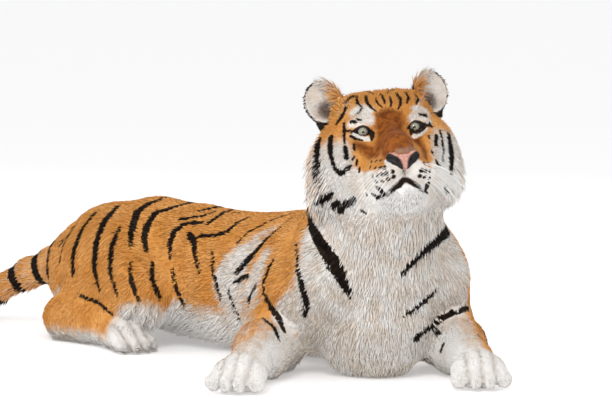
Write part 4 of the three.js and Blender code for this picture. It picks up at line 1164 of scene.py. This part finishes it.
def head_lie(p):
    """The head's hair runs away from the nose, and hangs at the cheeks. The ruff's fringe is longest."""
    q = head.local(p)
    x, y, z = q.T
    side = np.abs(y)
    reach = np.linalg.norm(q - NOSE_TOP, axis=1)
    way = (q - NOSE_TOP) / reach[:, None]
    way[:, 2] -= 1.1 * (rise(side, 70, 120) * fall(z, -30, 40))
    way[:, 0] -= 0.6 * fall(z, -200, -150)
    chin = fall(z, -180, -158)
    length = np.interp(reach, *LENGTH_BY_REACH)
    length += 6 * rise(side, 66, 100) * fall(z, -60, 0)
    length += 20 * fall(z, -225, -185) + 10 * rise(x, 60, 90) * chin
    outer = side - 20 * fall(y, -60, 0)
    fringe = rise(outer, 128, 150) + fall(x, -96, -66) * rise(side, 90, 116)
    fuller = 18 * fall(y, -60, 0) - 13 * rise(y, 0, 60)
    length += (14 + fuller + 22 * fall(z, -130, -40)) * np.minimum(fringe, 1) * fall(z, 0, 50)
    for name, s in SIDES.items():
        from_root = np.linalg.norm(ear_places[name].local(p) - [0, -s * 22, -38], axis=1)
        length += 14 * fall(from_root, 26, 56)
    width, lift, spacing = (np.interp(length, SIZES_BY_LENGTH[0], row) for row in SIZES_BY_LENGTH[1:])
    lift = lift + 14 * rise(z, 50, 90)
    lift += 22 * rise(x, 50, 80) * chin
    lift += 18 * fall(y, -168, -148) * fall(z, 0, 60)
    return way @ head.axes.T, np.stack([length, width, lift, spacing], 1)


def coat_lie(p, normal, on_ear, on_head):
    """Along the skin: the lie's direction, and the tufts' length, width, lift and spacing."""
    share = on_head[:, None]
    way, sizes = ((1 - share) * a + share * b for a, b in zip(body_lie(p, normal), head_lie(p)))
    for s, place, y, _, own, front in ears(p, normal, on_ear):
        out = place.axes[:, 2] + 0.25 * s * place.axes[:, 1]
        across = s * place.axes[:, 1] + 0.5 * place.axes[:, 2]
        way = np.where(own[:, None], np.where(front[:, None], across, out), way)
        length = np.where(front, 8 + 26 * rise(-s * y, 6, 34), 8)
        others = (np.full(len(p), number) for number in EAR_WIDTH_LIFT_SPACING)
        sizes = np.where(own[:, None], np.stack([length, *others], 1), sizes)
    way -= normal * (way * normal).sum(1)[:, None]
    return unit_rows(way, 1e-9), sizes


SKIN_DARK = dark_edges(SKIN, SKIN_NORMALS, ON_EAR)
SKIN_WHITE, SKIN_RUST, SKIN_ON_HEAD, SKIN_GREY = shares(SKIN, SKIN_NORMALS, ON_EAR)
SKIN_WAY, SKIN_SIZES = coat_lie(SKIN, SKIN_NORMALS, ON_EAR, SKIN_ON_HEAD)
for _ in range(4):
    SKIN_WAY = 0.5 * SKIN_WAY + 0.5 * neighbour_mean(SKIN_WAY, SKIN_EDGES)
    SKIN_SIZES = 0.5 * SKIN_SIZES + 0.5 * neighbour_mean(SKIN_SIZES, SKIN_EDGES)

for label, values in (("dark_edge", SKIN_DARK), ("white", SKIN_WHITE), ("rust", SKIN_RUST), ("grey", SKIN_GREY)):
    put_attribute(skin.data, label, values)
put_attribute(skin.data, "along", np.zeros(len(SKIN)))
put_attribute(skin.data, "shade", np.full(len(SKIN), 0.5))


def unwrap(piece, name):
    piece.data.uv_layers.new(name=name)
    bpy.context.view_layer.objects.active = piece
    bpy.ops.object.select_all(action="DESELECT")
    piece.select_set(True)
    bpy.ops.object.mode_set(mode="EDIT")
    bpy.ops.mesh.select_all(action="SELECT")
    bpy.ops.uv.smart_project(angle_limit=math.radians(66), island_margin=0.002)
    bpy.ops.object.mode_set(mode="OBJECT")


unwrap(skin, "OFBake")

# ---------------------------------------------------------------- tufts

LOCK_DRAWS = DRAW.random((8191, 4))
COARSE_LOCK, FINE_LOCK, COARSE_FROM = 9, 5.5, 4  # a lock's size, and the spacing from which it is coarse
READS = (0, 0.25, 0.5, 0.75, 1)  # where along a tuft its dark marks are read


def skin_triangles():
    """The skin's triangles, their areas, and where their corners lie on the skin's unwrap."""
    mesh = skin.data
    mesh.calc_loop_triangles()
    corners = read(mesh.loop_triangles, "vertices", 3, np.int32)
    loops = read(mesh.loop_triangles, "loops", 3, np.int32)
    a, b, c = (SKIN[corners[:, k]] for k in range(3))
    area = 0.5 * np.linalg.norm(np.cross(b - a, c - a), axis=1)
    return corners, area, read(mesh.uv_layers["OFBake"].data, "uv", 2)[loops]


def locks(p, spacing):
    """Four draws that the roots in one lock share."""
    shared = np.zeros((len(p), 4))
    for size, here in ((COARSE_LOCK, spacing >= COARSE_FROM), (FINE_LOCK, spacing < COARSE_FROM)):
        cell = np.floor((p + DRAW.normal(size=p.shape) * 0.22 * size) / size).astype(np.int64)
        key = np.abs(cell @ np.array([73856093, 19349663, 83492791])) % len(LOCK_DRAWS)
        shared[here] = LOCK_DRAWS[key[here]]
    return shared


def spread_roots():
    """Roots spread over the skin at the coat's own spacing, with all that a tuft there needs."""
    corners, area, uv = skin_triangles()
    wanted = area / SKIN_SIZES[corners, 3].mean(1) ** 2
    wanted[SKIN[corners, 2].mean(1) < FLOOR_REST + 1] = 0
    count = np.floor(wanted + DRAW.random(len(wanted))).astype(int)
    face = np.repeat(np.arange(len(count)), count)
    u, v = DRAW.random((2, len(face)))
    flip = u + v > 1
    u[flip], v[flip] = 1 - u[flip], 1 - v[flip]
    share = np.stack([1 - u - v, u, v], 1)[:, :, None]
    own = corners[face]
    mix = lambda values: (values[own] * share).sum(1)
    root = {
        "place": mix(SKIN),
        "normal": unit_rows(mix(SKIN_NORMALS), 1e-9),
        "way": unit_rows(mix(SKIN_WAY), 1e-9),
        "sizes": mix(SKIN_SIZES),
        "uv": (uv[face] * share).sum(1),
        "on_ear": ON_EAR[own[:, 0]],
    }
    # What shows of a tuft is its outer half; its white, rust and grey are read where that half begins. Short hair takes
    # a mark's edge where it lies, so it reads its dark marks along its length; long hair reads them over a shorter
    # stretch round its middle, which softens their edges.
    length = np.where(root["on_ear"], 0, root["sizes"][:, 0])
    crisp = 1 - 0.4 * rise(length, 30, 60)
    reads = [root["place"] + (length * (0.5 + (t - 0.5) * crisp))[:, None] * root["way"] for t in READS]
    root["dark"] = np.stack([dark_edges(p, root["normal"], root["on_ear"]) for p in reads], 1)
    root["white"], root["rust"], _, root["grey"] = shares(reads[2], root["normal"], root["on_ear"])
    root["lock"] = locks(root["place"], root["sizes"][:, 3])
    return root


PATCH = 0.003  # the size of a tuft's patch on the unwrap
# Where along a tuft its rings are, and their share of its width.
SHORT_STATIONS = [(0.0, 0.8), (0.5, 1.0)]
LONG_STATIONS = [(0.0, 0.7), (0.42, 1.0), (0.76, 0.66)]
LONG_FROM = 31  # the length from which a tuft has one more ring
FEWEST_TUFTS = 200
LOWEST_HAIR = 0.6
EYE_CLEAR = 5.2


def tuft_shape(pick, n, stations):
    """The points of n closed, flat, tapered, bent tufts, each three-sided with a point, and how far along each lies."""
    length, width, lift = (pick["sizes"][:, k] for k in range(3))
    length = length * DRAW.uniform(0.75, 1.2, n)
    width = width * DRAW.uniform(0.75, 1.25, n)
    lift = np.radians(lift * DRAW.uniform(0.5, 1.7, n))
    normal = pick["normal"]
    way = pick["way"] + 0.1 * DRAW.normal(size=(n, 3)) + 0.5 * (pick["lock"][:, 1:] - 0.5)
    way = unit_rows(way - normal * (way * normal).sum(1)[:, None])
    side = unit_rows(np.cross(way, normal) + 0.35 * normal * DRAW.normal(size=(n, 1)))
    first, second = (way * np.cos(a)[:, None] + normal * np.sin(a)[:, None] for a in (lift, lift * 0.15))
    second[:, 2] -= 0.012 * np.maximum(length - 20, 0)
    start = pick["place"] - 1.2 * normal
    middle = start + first * (0.5 * length)[:, None]
    tip = middle + unit_rows(second) * (0.5 * length)[:, None]
    each = len(stations) * 3 + 1
    points, along = np.empty((n, each, 3)), np.ones(each)
    for r, (t, share) in enumerate(stations):
        centre = (1 - t) ** 2 * start + 2 * t * (1 - t) * middle + t * t * tip
        half = side * (0.5 * share * width)[:, None]
        over = np.cross(side, way) * (0.22 * share * width)[:, None]
        for k, off in enumerate((half, -half, over)):
            points[:, 3 * r + k] = centre + off
        along[3 * r : 3 * r + 3] = t
    points[:, -1] = tip
    points[:, :, 2] = np.maximum(points[:, :, 2], LOWEST_HAIR)
    return points, along


def tuft_faces(rings):
    faces = [(0, 2, 1)]
    for r in range(rings):
        for k in range(3):
            a, b = 3 * r + k, 3 * r + (k + 1) % 3
            last = r == rings - 1
            faces += [(a, b, rings * 3)] if last else [(a, b, b + 3), (a, b + 3, a + 3)]
    return np.array(faces)


def build_tufts(name, root, chosen, stations):
    """One mesh of all the chosen roots' tufts, marked as the skin is."""
    pick = {key: values[chosen] for key, values in root.items()}
    n = int(chosen.sum())
    points, along = tuft_shape(pick, n, stations)
    each = len(along)
    corners = (tuft_faces(len(stations))[None] + (np.arange(n) * each)[:, None, None]).ravel()
    mesh = bpy.data.meshes.new(name)
    mesh.vertices.add(n * each)
    mesh.vertices.foreach_set("co", (points * MM).astype(np.float32).ravel())
    mesh.loops.add(len(corners))
    mesh.loops.foreach_set("vertex_index", corners.astype(np.int32))
    mesh.polygons.add(len(corners) // 3)
    mesh.polygons.foreach_set("loop_start", np.arange(0, len(corners), 3, dtype=np.int32))
    mesh.update(calc_edges=True)
    mesh.shade_smooth()
    offset = np.stack([(np.arange(each) % 3 - 1) * PATCH / 3, (along - 0.5) * PATCH], 1)
    place = (pick["uv"][:, None, :] + offset[None]).reshape(-1, 2)
    mesh.uv_layers.new(name="OFBake").data.foreach_set("uv", place[corners].astype(np.float32).ravel())
    last = len(READS) - 1
    dark = pick["dark"]
    dark = [(1 - d % 1) * dark[:, int(d)] + (d % 1) * dark[:, min(int(d) + 1, last)] for d in along * last]
    put_attribute(mesh, "dark_edge", np.stack(dark, 1).ravel())
    for label in ("white", "rust", "grey"):
        put_attribute(mesh, label, np.repeat(pick[label], each))
    put_attribute(mesh, "along", np.tile(along, n))
    put_attribute(mesh, "shade", np.repeat(0.55 * pick["lock"][:, 0] + 0.45 * DRAW.random(n), each))
    return new_object(name, mesh)


ROOTS = spread_roots()
from_eyes = np.min([np.linalg.norm(ROOTS["place"] - e.origin, axis=1) for e in eye_places.values()], axis=0)
from_nose = head.local(ROOTS["place"]) - nose_at(-15, 0, 0)
ROOTS_KEPT = (from_eyes > EYE_RADIUS + EYE_CLEAR) & ~(np.abs(from_nose) < [22, 36, 15]).all(1)

# The coat's pieces: each root goes to the nearest of these places.
ZONES = {
    "coat_face": head.point(60, 0, -70),
    "coat_crown": head.point(-80, 0, 60),
    "coat_cheek_right": head.point(-60, -120, -80),
    "coat_cheek_left": head.point(-60, 120, -80),
    "coat_throat": chest.point(90, 0, 330),
    "coat_neck": chest.point(-110, 0, 420),
    "coat_chest": chest.point(90, 0, 120),
    "coat_foreleg_right": chest.point(40, -330, 70),
    "coat_foreleg_left": chest.point(140, 230, 70),
    "coat_shoulder_right": chest.point(-160, -180, 200),
    "coat_shoulder_left": chest.point(-160, 180, 200),
    "coat_flank_right": (-560, -20, 200),
    "coat_flank_left": (-560, 330, 200),
    "coat_hip_right": (-900, -60, 200),
    "coat_hip_left": (-900, 370, 200),
    "coat_tail": (-1600, 60, 60),
}
zone_of = np.argmin([np.linalg.norm(ROOTS["place"] - np.array(c, float), axis=1) for c in ZONES.values()], axis=0)
is_long = ROOTS["sizes"][:, 0] >= LONG_FROM
coat_pieces = []
for n, zone in enumerate(ZONES):
    for kind, stations, kept in (("short", SHORT_STATIONS, ~is_long), ("long", LONG_STATIONS, is_long)):
        chosen = ROOTS_KEPT & (zone_of == n) & kept
        if chosen.sum() >= FEWEST_TUFTS:
            coat_pieces.append(build_tufts(f"{zone}_{kind}", ROOTS, chosen, stations))

# ---------------------------------------------------------------- eyes, lids, nose and whiskers

IRIS, PUPIL, CORNEA_RISE = 11.4, 3.4, 1.3
LID_STEPS, LID_SIDES = 48, 8
NOSE_NET = 1.4


def add_ring(bm, centre, way, radius, sides):
    """A ring of points round a centre, square to the way."""
    turn = Vector(way).to_track_quat("Z", "Y").to_matrix().to_4x4()
    turn.translation = Vector(centre * MM)
    return bmesh.ops.create_circle(bm, segments=sides, radius=radius * MM, matrix=turn)["verts"]


def make_eye(name):
    """An eyeball that looks at the viewer, with the cornea's low dome, marked by the distance from its axis."""
    gaze = Vector(BACK * 0.8 + head.axes[:, 0] * 0.2).normalized()
    turn = gaze.to_track_quat("Z", "Y").to_matrix().to_4x4()
    bm = bmesh.new()
    bmesh.ops.create_uvsphere(bm, u_segments=64, v_segments=48, radius=EYE_RADIUS, matrix=turn)
    off = []
    for v in bm.verts:
        across = (v.co - gaze * v.co.dot(gaze)).length if v.co.dot(gaze) > 0 else EYE_RADIUS
        dome = max(0.0, 1 - (across / (IRIS + 1)) ** 2)
        v.co += gaze * CORNEA_RISE * dome
        off.append(across)
        v.co = (v.co + Vector(eye_places[name].origin)) * MM
    eyeball = smooth_object(bm, f"eyeball_{name}")
    put_attribute(eyeball.data, "off_axis", off)
    return eyeball


def make_lid_rim(name):
    """The bare dark rim of the lids: a round tube along the almond opening."""
    hug = EYE_RADIUS + 1.3
    points, radii = [], []
    for n in range(LID_STEPS):
        angle = 2 * math.pi * n / LID_STEPS
        y, z = LID_LENGTH * math.cos(angle), LID_HEIGHT * math.sin(angle)
        points.append(eye_places[name].point(math.sqrt(max(hug**2 - y**2 - z**2, 16)), y, z))
        radii.append(1.7 + 0.7 * max(math.sin(angle), 0))
    bm = bmesh.new()
    ways = [after - before for before, after in zip(points[-1:] + points, points[1:] + points[:1])]
    rings = [add_ring(bm, *place, LID_SIDES) for place in zip(points, ways, radii)]
    for pair in zip(rings, rings[1:] + rings[:1]):
        edges = [e for ring in pair for e in {e for v in ring for e in v.link_edges} if all(v in ring for v in e.verts)]
        bmesh.ops.bridge_loops(bm, edges=edges)
    bmesh.ops.recalc_face_normals(bm, faces=bm.faces)
    return smooth_object(bm, f"lid_rim_{name}")


nose_body = head_blend(
    8,
    [
        (nose_at(-20, -27, 11), nose_at(-20, 27, 11), 10, 10),
        (nose_at(-15, 0, 2), (15, 20, 15)),
        (nose_at(-15, 0, -9), (13, 9, 14)),
    ],
    [(nose_at(-22, 31, 9), nose_at(-12, 7, -14), 8, 6)],
)
nostril_field = head_blend(
    4,
    [],
    [(nose_at(-1, 11, -6), nose_at(-6, 20, -1), 4.2, 5.2), (nose_at(-6, 20, -1), nose_at(-16, 37, 9), 5.2, 2.4)],
)
# The pink middle of the nose: its half width by the height.
PINK_HALF = ([-20, -8, 0, 8, 15, 20], [4, 6, 9, 15, 25, 33])


def make_nose():
    """The nose's leather on a fine net, with its nostrils."""
    mesh = remeshed(merged_nodes("nose"), NOSE_NET)
    keep_largest(mesh)
    settle(mesh, lambda p: carve(nose_body(p), nostril_field(p), 3), lambda p: np.full(len(p), 0.2), 8)
    mesh.shade_smooth()
    _, y, z = (head.local(mesh_points(mesh)) - nose_at(0, 0, 0)).T
    put_attribute(mesh, "pink", rise(np.interp(z, *PINK_HALF) - np.abs(y), -3, 3))
    return new_object("nose_leather", mesh)


def bristles():
    """Each bristle's root, side, drop and length: four rows on each pad, and three above each eye."""
    for s in SIGNS:
        for row in range(4):
            for n in range(5):
                root = on_face(s * (30 + 9 * n + 2 * row), -112 - 11 * row)
                yield root, s, 0.35 + 0.16 * row, 60 + 105 * math.sin(0.5 + 0.45 * n)
        for n in range(3):
            yield on_face(s * (52 + 5 * n), 27 + 2 * n), s, -0.9, 70 - 8 * n


def make_whiskers():
    """White bristles, each a long bent cone."""
    bm = bmesh.new()
    for root, s, drop, length in bristles():
        length *= DRAW.uniform(0.8, 1.2)
        thick = 0.62 if drop > 0 else 0.3
        out = head.direction(0.25 + 0.2 * DRAW.random(), s * (0.75 + 0.2 * DRAW.random()), -drop)
        fall_way = head.direction(-0.35, s * 0.6, -drop - 0.5) if drop > 0 else head.direction(-0.5, s * 0.4, 0.5)
        middle = root + out * 0.45 * length
        tip = middle + fall_way * 0.55 * length
        rings = []
        for t in np.linspace(0, 1, 9):
            centre = (1 - t) ** 2 * root + 2 * t * (1 - t) * middle + t * t * tip
            way = 2 * (1 - t) * (middle - root) + 2 * t * (tip - middle)
            rings.append(add_ring(bm, centre, way, thick * (1 - t) + 0.06, 4))
        for one, two in zip(rings, rings[1:]):
            for k in range(4):
                bm.faces.new((one[k], one[(k + 1) % 4], two[(k + 1) % 4], two[k]))
        bm.faces.new(rings[0][::-1])
        bm.faces.new(rings[-1])
    bmesh.ops.recalc_face_normals(bm, faces=bm.faces)
    return smooth_object(bm, "whiskers")


eyeballs = {name: make_eye(name) for name in SIDES}
lid_rims = {name: make_lid_rim(name) for name in SIDES}
nose_leather = make_nose()
whiskers = make_whiskers()

# ---------------------------------------------------------------- materials


class Finish:
    """A material's nodes, made in order and joined by name."""

    def __init__(self, name):
        self.material = bpy.data.materials.new(name)
        self.material.use_nodes = True
        self.tree = self.material.node_tree
        self.shader = self.tree.nodes["Principled BSDF"]

    def node(self, kind, **values):
        made = self.tree.nodes.new(kind)
        for key, value in values.items():
            setattr(made, key, value)
        return made

    def feed(self, socket, value):
        """Joins an output to the socket, or else sets the socket's own value."""
        if isinstance(value, bpy.types.NodeSocket):
            self.tree.links.new(value, socket)
        else:
            socket.default_value = (*value, 1) if isinstance(value, tuple) else value

    def set(self, values):
        for name, value in values.items():
            self.feed(self.shader.inputs[name], value)

    def attribute(self, name):
        return self.node("ShaderNodeAttribute", attribute_name=name).outputs["Fac"]

    def math(self, operation, *values):
        made = self.node("ShaderNodeMath", operation=operation)
        for socket, value in zip(made.inputs, values):
            self.feed(socket, value)
        return made.outputs[0]

    def line(self, value, slope, start):
        return self.math("MULTIPLY_ADD", value, slope, start)

    def noise(self, scale, detail=2.0):
        made = self.node("ShaderNodeTexNoise")
        place = self.node("ShaderNodeTexCoord").outputs["Object"]
        for name, value in (("Scale", scale), ("Detail", detail), ("Vector", place)):
            self.feed(made.inputs[name], value)
        return made.outputs["Fac"]

    def between(self, value, low, high, start=0.0, end=1.0):
        made = self.node("ShaderNodeMapRange", interpolation_type="SMOOTHSTEP")
        for name, number in zip(("Value", "From Min", "From Max", "To Min", "To Max"), (value, low, high, start, end)):
            self.feed(made.inputs[name], number)
        return made.outputs["Result"]

    def mix(self, share, first, second):
        made = self.node("ShaderNodeMix", data_type="RGBA")
        colors = [s for s in made.inputs if s.type == "RGBA"]
        for socket, value in zip((made.inputs[0], *colors), (share, first, second)):
            self.feed(socket, value)
        return [s for s in made.outputs if s.type == "RGBA"][0]

    def bump(self, height, strength, distance):
        made = self.node("ShaderNodeBump")
        for name, value in (("Strength", strength), ("Distance", distance), ("Height", height)):
            self.feed(made.inputs[name], value)
        self.feed(self.shader.inputs["Normal"], made.outputs[0])


ORANGE_LIGHT, ORANGE_DEEP = (0.90, 0.47, 0.155), (0.73, 0.315, 0.068)
RUST_LIGHT, RUST_DEEP = (0.38, 0.11, 0.014), (0.15, 0.036, 0.007)
CREAM, WHITE, LIT_WHITE = (0.81, 0.72, 0.63), (0.88, 0.85, 0.81), (0.93, 0.91, 0.89)
GREY, GREY_DEEP = (0.46, 0.38, 0.31), (0.085, 0.058, 0.045)
SHADED, ROOT_SHADE_BROWN = (0.50, 0.44, 0.38), (0.10, 0.05, 0.025)
NEAR_BLACK = (0.007, 0.005, 0.004)


def coat_finish(name, root_shade):
    """The coat's colours from its attributes: the tufts differ by shade, and noise breaks the marks' edges up."""
    f = Finish(name)
    shade, along, own, grey = (f.attribute(label) for label in ("shade", "along", "white", "grey"))
    orange = f.mix(f.between(f.noise(14), 0.3, 0.7), ORANGE_DEEP, ORANGE_LIGHT)
    orange = f.mix(f.math("MULTIPLY", shade, 0.75), orange, ORANGE_DEEP)
    orange = f.mix(f.between(shade, 0.72, 1.0, 0.0, 0.3), orange, RUST_LIGHT)
    patchy = f.between(f.noise(70, 4), 0.38, 0.62)
    rust = f.mix(f.line(shade, 0.4, f.math("MULTIPLY", patchy, 0.6)), RUST_DEEP, RUST_LIGHT)
    white = f.mix(f.between(f.noise(25), 0.35, 0.65), WHITE, CREAM)
    white = f.mix(f.between(shade, 0.35, 1.0, 0.0, 0.4), white, SHADED)
    # Painted light: where the white share runs over 1 (chin, lower cheeks, paws) the coat turns a brighter white.
    white = f.mix(f.between(own, 1.0, 1.4), white, LIT_WHITE)
    color = f.mix(f.attribute("rust"), orange, rust)
    # White and orange break up only where they run into each other.
    uneven = f.math("ADD", f.line(f.noise(60, 4), 0.5, -0.25), f.line(shade, 0.6, -0.3))
    room = f.math("MAXIMUM", f.math("MULTIPLY", f.math("MULTIPLY", own, 4.0), f.math("SUBTRACT", 1.0, own)), 0.0)
    color = f.mix(f.between(f.line(uneven, room, own), 0.1, 0.9), color, white)
    grey_share = f.math("MULTIPLY", grey, f.line(shade, 0.5, 0.5))
    color = f.mix(grey_share, color, f.mix(f.between(grey, 0.6, 1.0), GREY, GREY_DEEP))
    ragged = f.math("ADD", f.attribute("dark_edge"), f.line(f.noise(160, 3), 3.0, -1.5))
    edge = f.math("ADD", ragged, f.line(shade, 1.8, -0.9))
    color = f.mix(f.between(edge, -1.0, 1.2, 1.0, 0.0), color, NEAR_BLACK)
    # Painted shade deep in the coat: each tuft darkens towards its root, and the skin between the tufts, at along 0,
    # darkens most.
    dim = f.line(along, 1 - root_shade, root_shade)
    color = f.mix(f.math("SUBTRACT", 1.0, dim), color, ROOT_SHADE_BROWN)
    f.set({"Base Color": color, "Roughness": 0.62, "Specular IOR Level": 0.08})
    return f


coat = coat_finish("coat", 0.88)
under_coat = coat_finish("skin_and_underfur", 0.86)
under_coat.bump(under_coat.noise(900, 3), 0.3, 0.002)
skin.data.materials.append(under_coat.material)
flesh = [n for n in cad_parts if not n.startswith(("eye", "nose"))]
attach(skin, "root")
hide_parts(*flesh)
for piece in coat_pieces:
    piece.data.materials.append(coat.material)
    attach(piece, "root")


def eye_finish():
    f = Finish("eyeball")
    off = f.attribute("off_axis")
    iris = f.mix(f.between(f.noise(900, 4), 0.35, 0.65), (0.20, 0.185, 0.13), (0.42, 0.39, 0.30))
    iris = f.mix(f.between(off, PUPIL, 6.5, 0.55, 0.0), iris, (0.50, 0.44, 0.28))
    iris = f.mix(f.between(off, IRIS - 2.6, IRIS, 0.0, 0.85), iris, (0.05, 0.05, 0.04))
    color = f.mix(f.between(off, PUPIL - 0.3, PUPIL + 0.3, 1.0, 0.0), iris, (0.002, 0.002, 0.002))
    color = f.mix(f.between(off, IRIS - 0.3, IRIS + 0.7), color, (0.03, 0.02, 0.016))
    f.set({"Base Color": color, "Roughness": 0.12, "Coat Weight": 0.45, "Coat Roughness": 0.03})
    return f.material


def nose_finish():
    f = Finish("nose_leather")
    pink = f.mix(f.between(f.noise(260, 4), 0.35, 0.65), (0.46, 0.21, 0.16), (0.66, 0.35, 0.28))
    color = f.mix(f.attribute("pink"), (0.010, 0.008, 0.008), pink)
    f.set({"Base Color": color, "Roughness": 0.45, "Specular IOR Level": 0.25})
    f.bump(f.noise(1400, 2), 0.35, 0.0006)
    return f.material


def bristle_finish():
    f = Finish("bristle")
    f.set({"Base Color": f.mix(f.noise(40), (0.9, 0.89, 0.87), (0.97, 0.96, 0.94)), "Roughness": 0.35})
    return f.material


def rim_finish():
    f = Finish("lid_rim")
    f.set({"Base Color": f.mix(f.noise(300), (0.01, 0.008, 0.008), (0.03, 0.022, 0.02)), "Roughness": 0.3})
    f.bump(f.noise(1200, 2), 0.25, 0.0005)
    return f.material


eye_material, rim_material = eye_finish(), rim_finish()
for name in SIDES:
    eyeballs[name].data.materials.append(eye_material)
    lid_rims[name].data.materials.append(rim_material)
    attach(eyeballs[name], "root")
    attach(lid_rims[name], "root")
    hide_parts(f"eye_{name}")
for piece, finish, slot in ((nose_leather, nose_finish(), "nose_leather"), (whiskers, bristle_finish(), "coat_white")):
    piece.data.materials.append(finish)
    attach(piece, "root")
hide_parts("nose")

# ---------------------------------------------------------------- floor and light

FLOOR_SIZE, FLOOR_GLOW, SKY = 120, 0.27, 0.72
LAMP_TARGET = Vector((-0.4, 0, 0.3))
# Each lamp's place in metres, its power and its size.
LAMPS = {
    "key": ((2.2, -3.4, 3.6), 118, 2.2),
    "fill": ((-3.5, -3.5, 2.6), 40, 3),
    "back": ((-2.4, 3.6, 3.0), 26, 3),
}


def make_stage():
    bm = bmesh.new()
    bmesh.ops.create_grid(bm, x_segments=1, y_segments=1, size=FLOOR_SIZE)
    floor = new_object("floor", written(bm, bpy.data.meshes.new("floor")))
    glow = Finish("floor")
    glow.set({"Base Color": (0.93, 0.93, 0.94), "Roughness": 0.9})
    glow.set({"Emission Color": (1, 1, 1), "Emission Strength": FLOOR_GLOW})
    floor.data.materials.append(glow.material)
    world = bpy.data.worlds.new("studio")
    bpy.context.scene.world = world
    world.use_nodes = True
    world.node_tree.nodes["Background"].inputs[0].default_value = (1, 1, 1, 1)
    world.node_tree.nodes["Background"].inputs[1].default_value = SKY
    for name, (at, power, size) in LAMPS.items():
        data = bpy.data.lights.new(name, "AREA")
        data.energy, data.size = power, size
        light = new_object(name, data)
        light.location = at
        light.rotation_euler = (Vector(at) - LAMP_TARGET).to_track_quat("Z", "Y").to_euler()
    bpy.context.scene.view_settings.view_transform = "Standard"


make_stage()
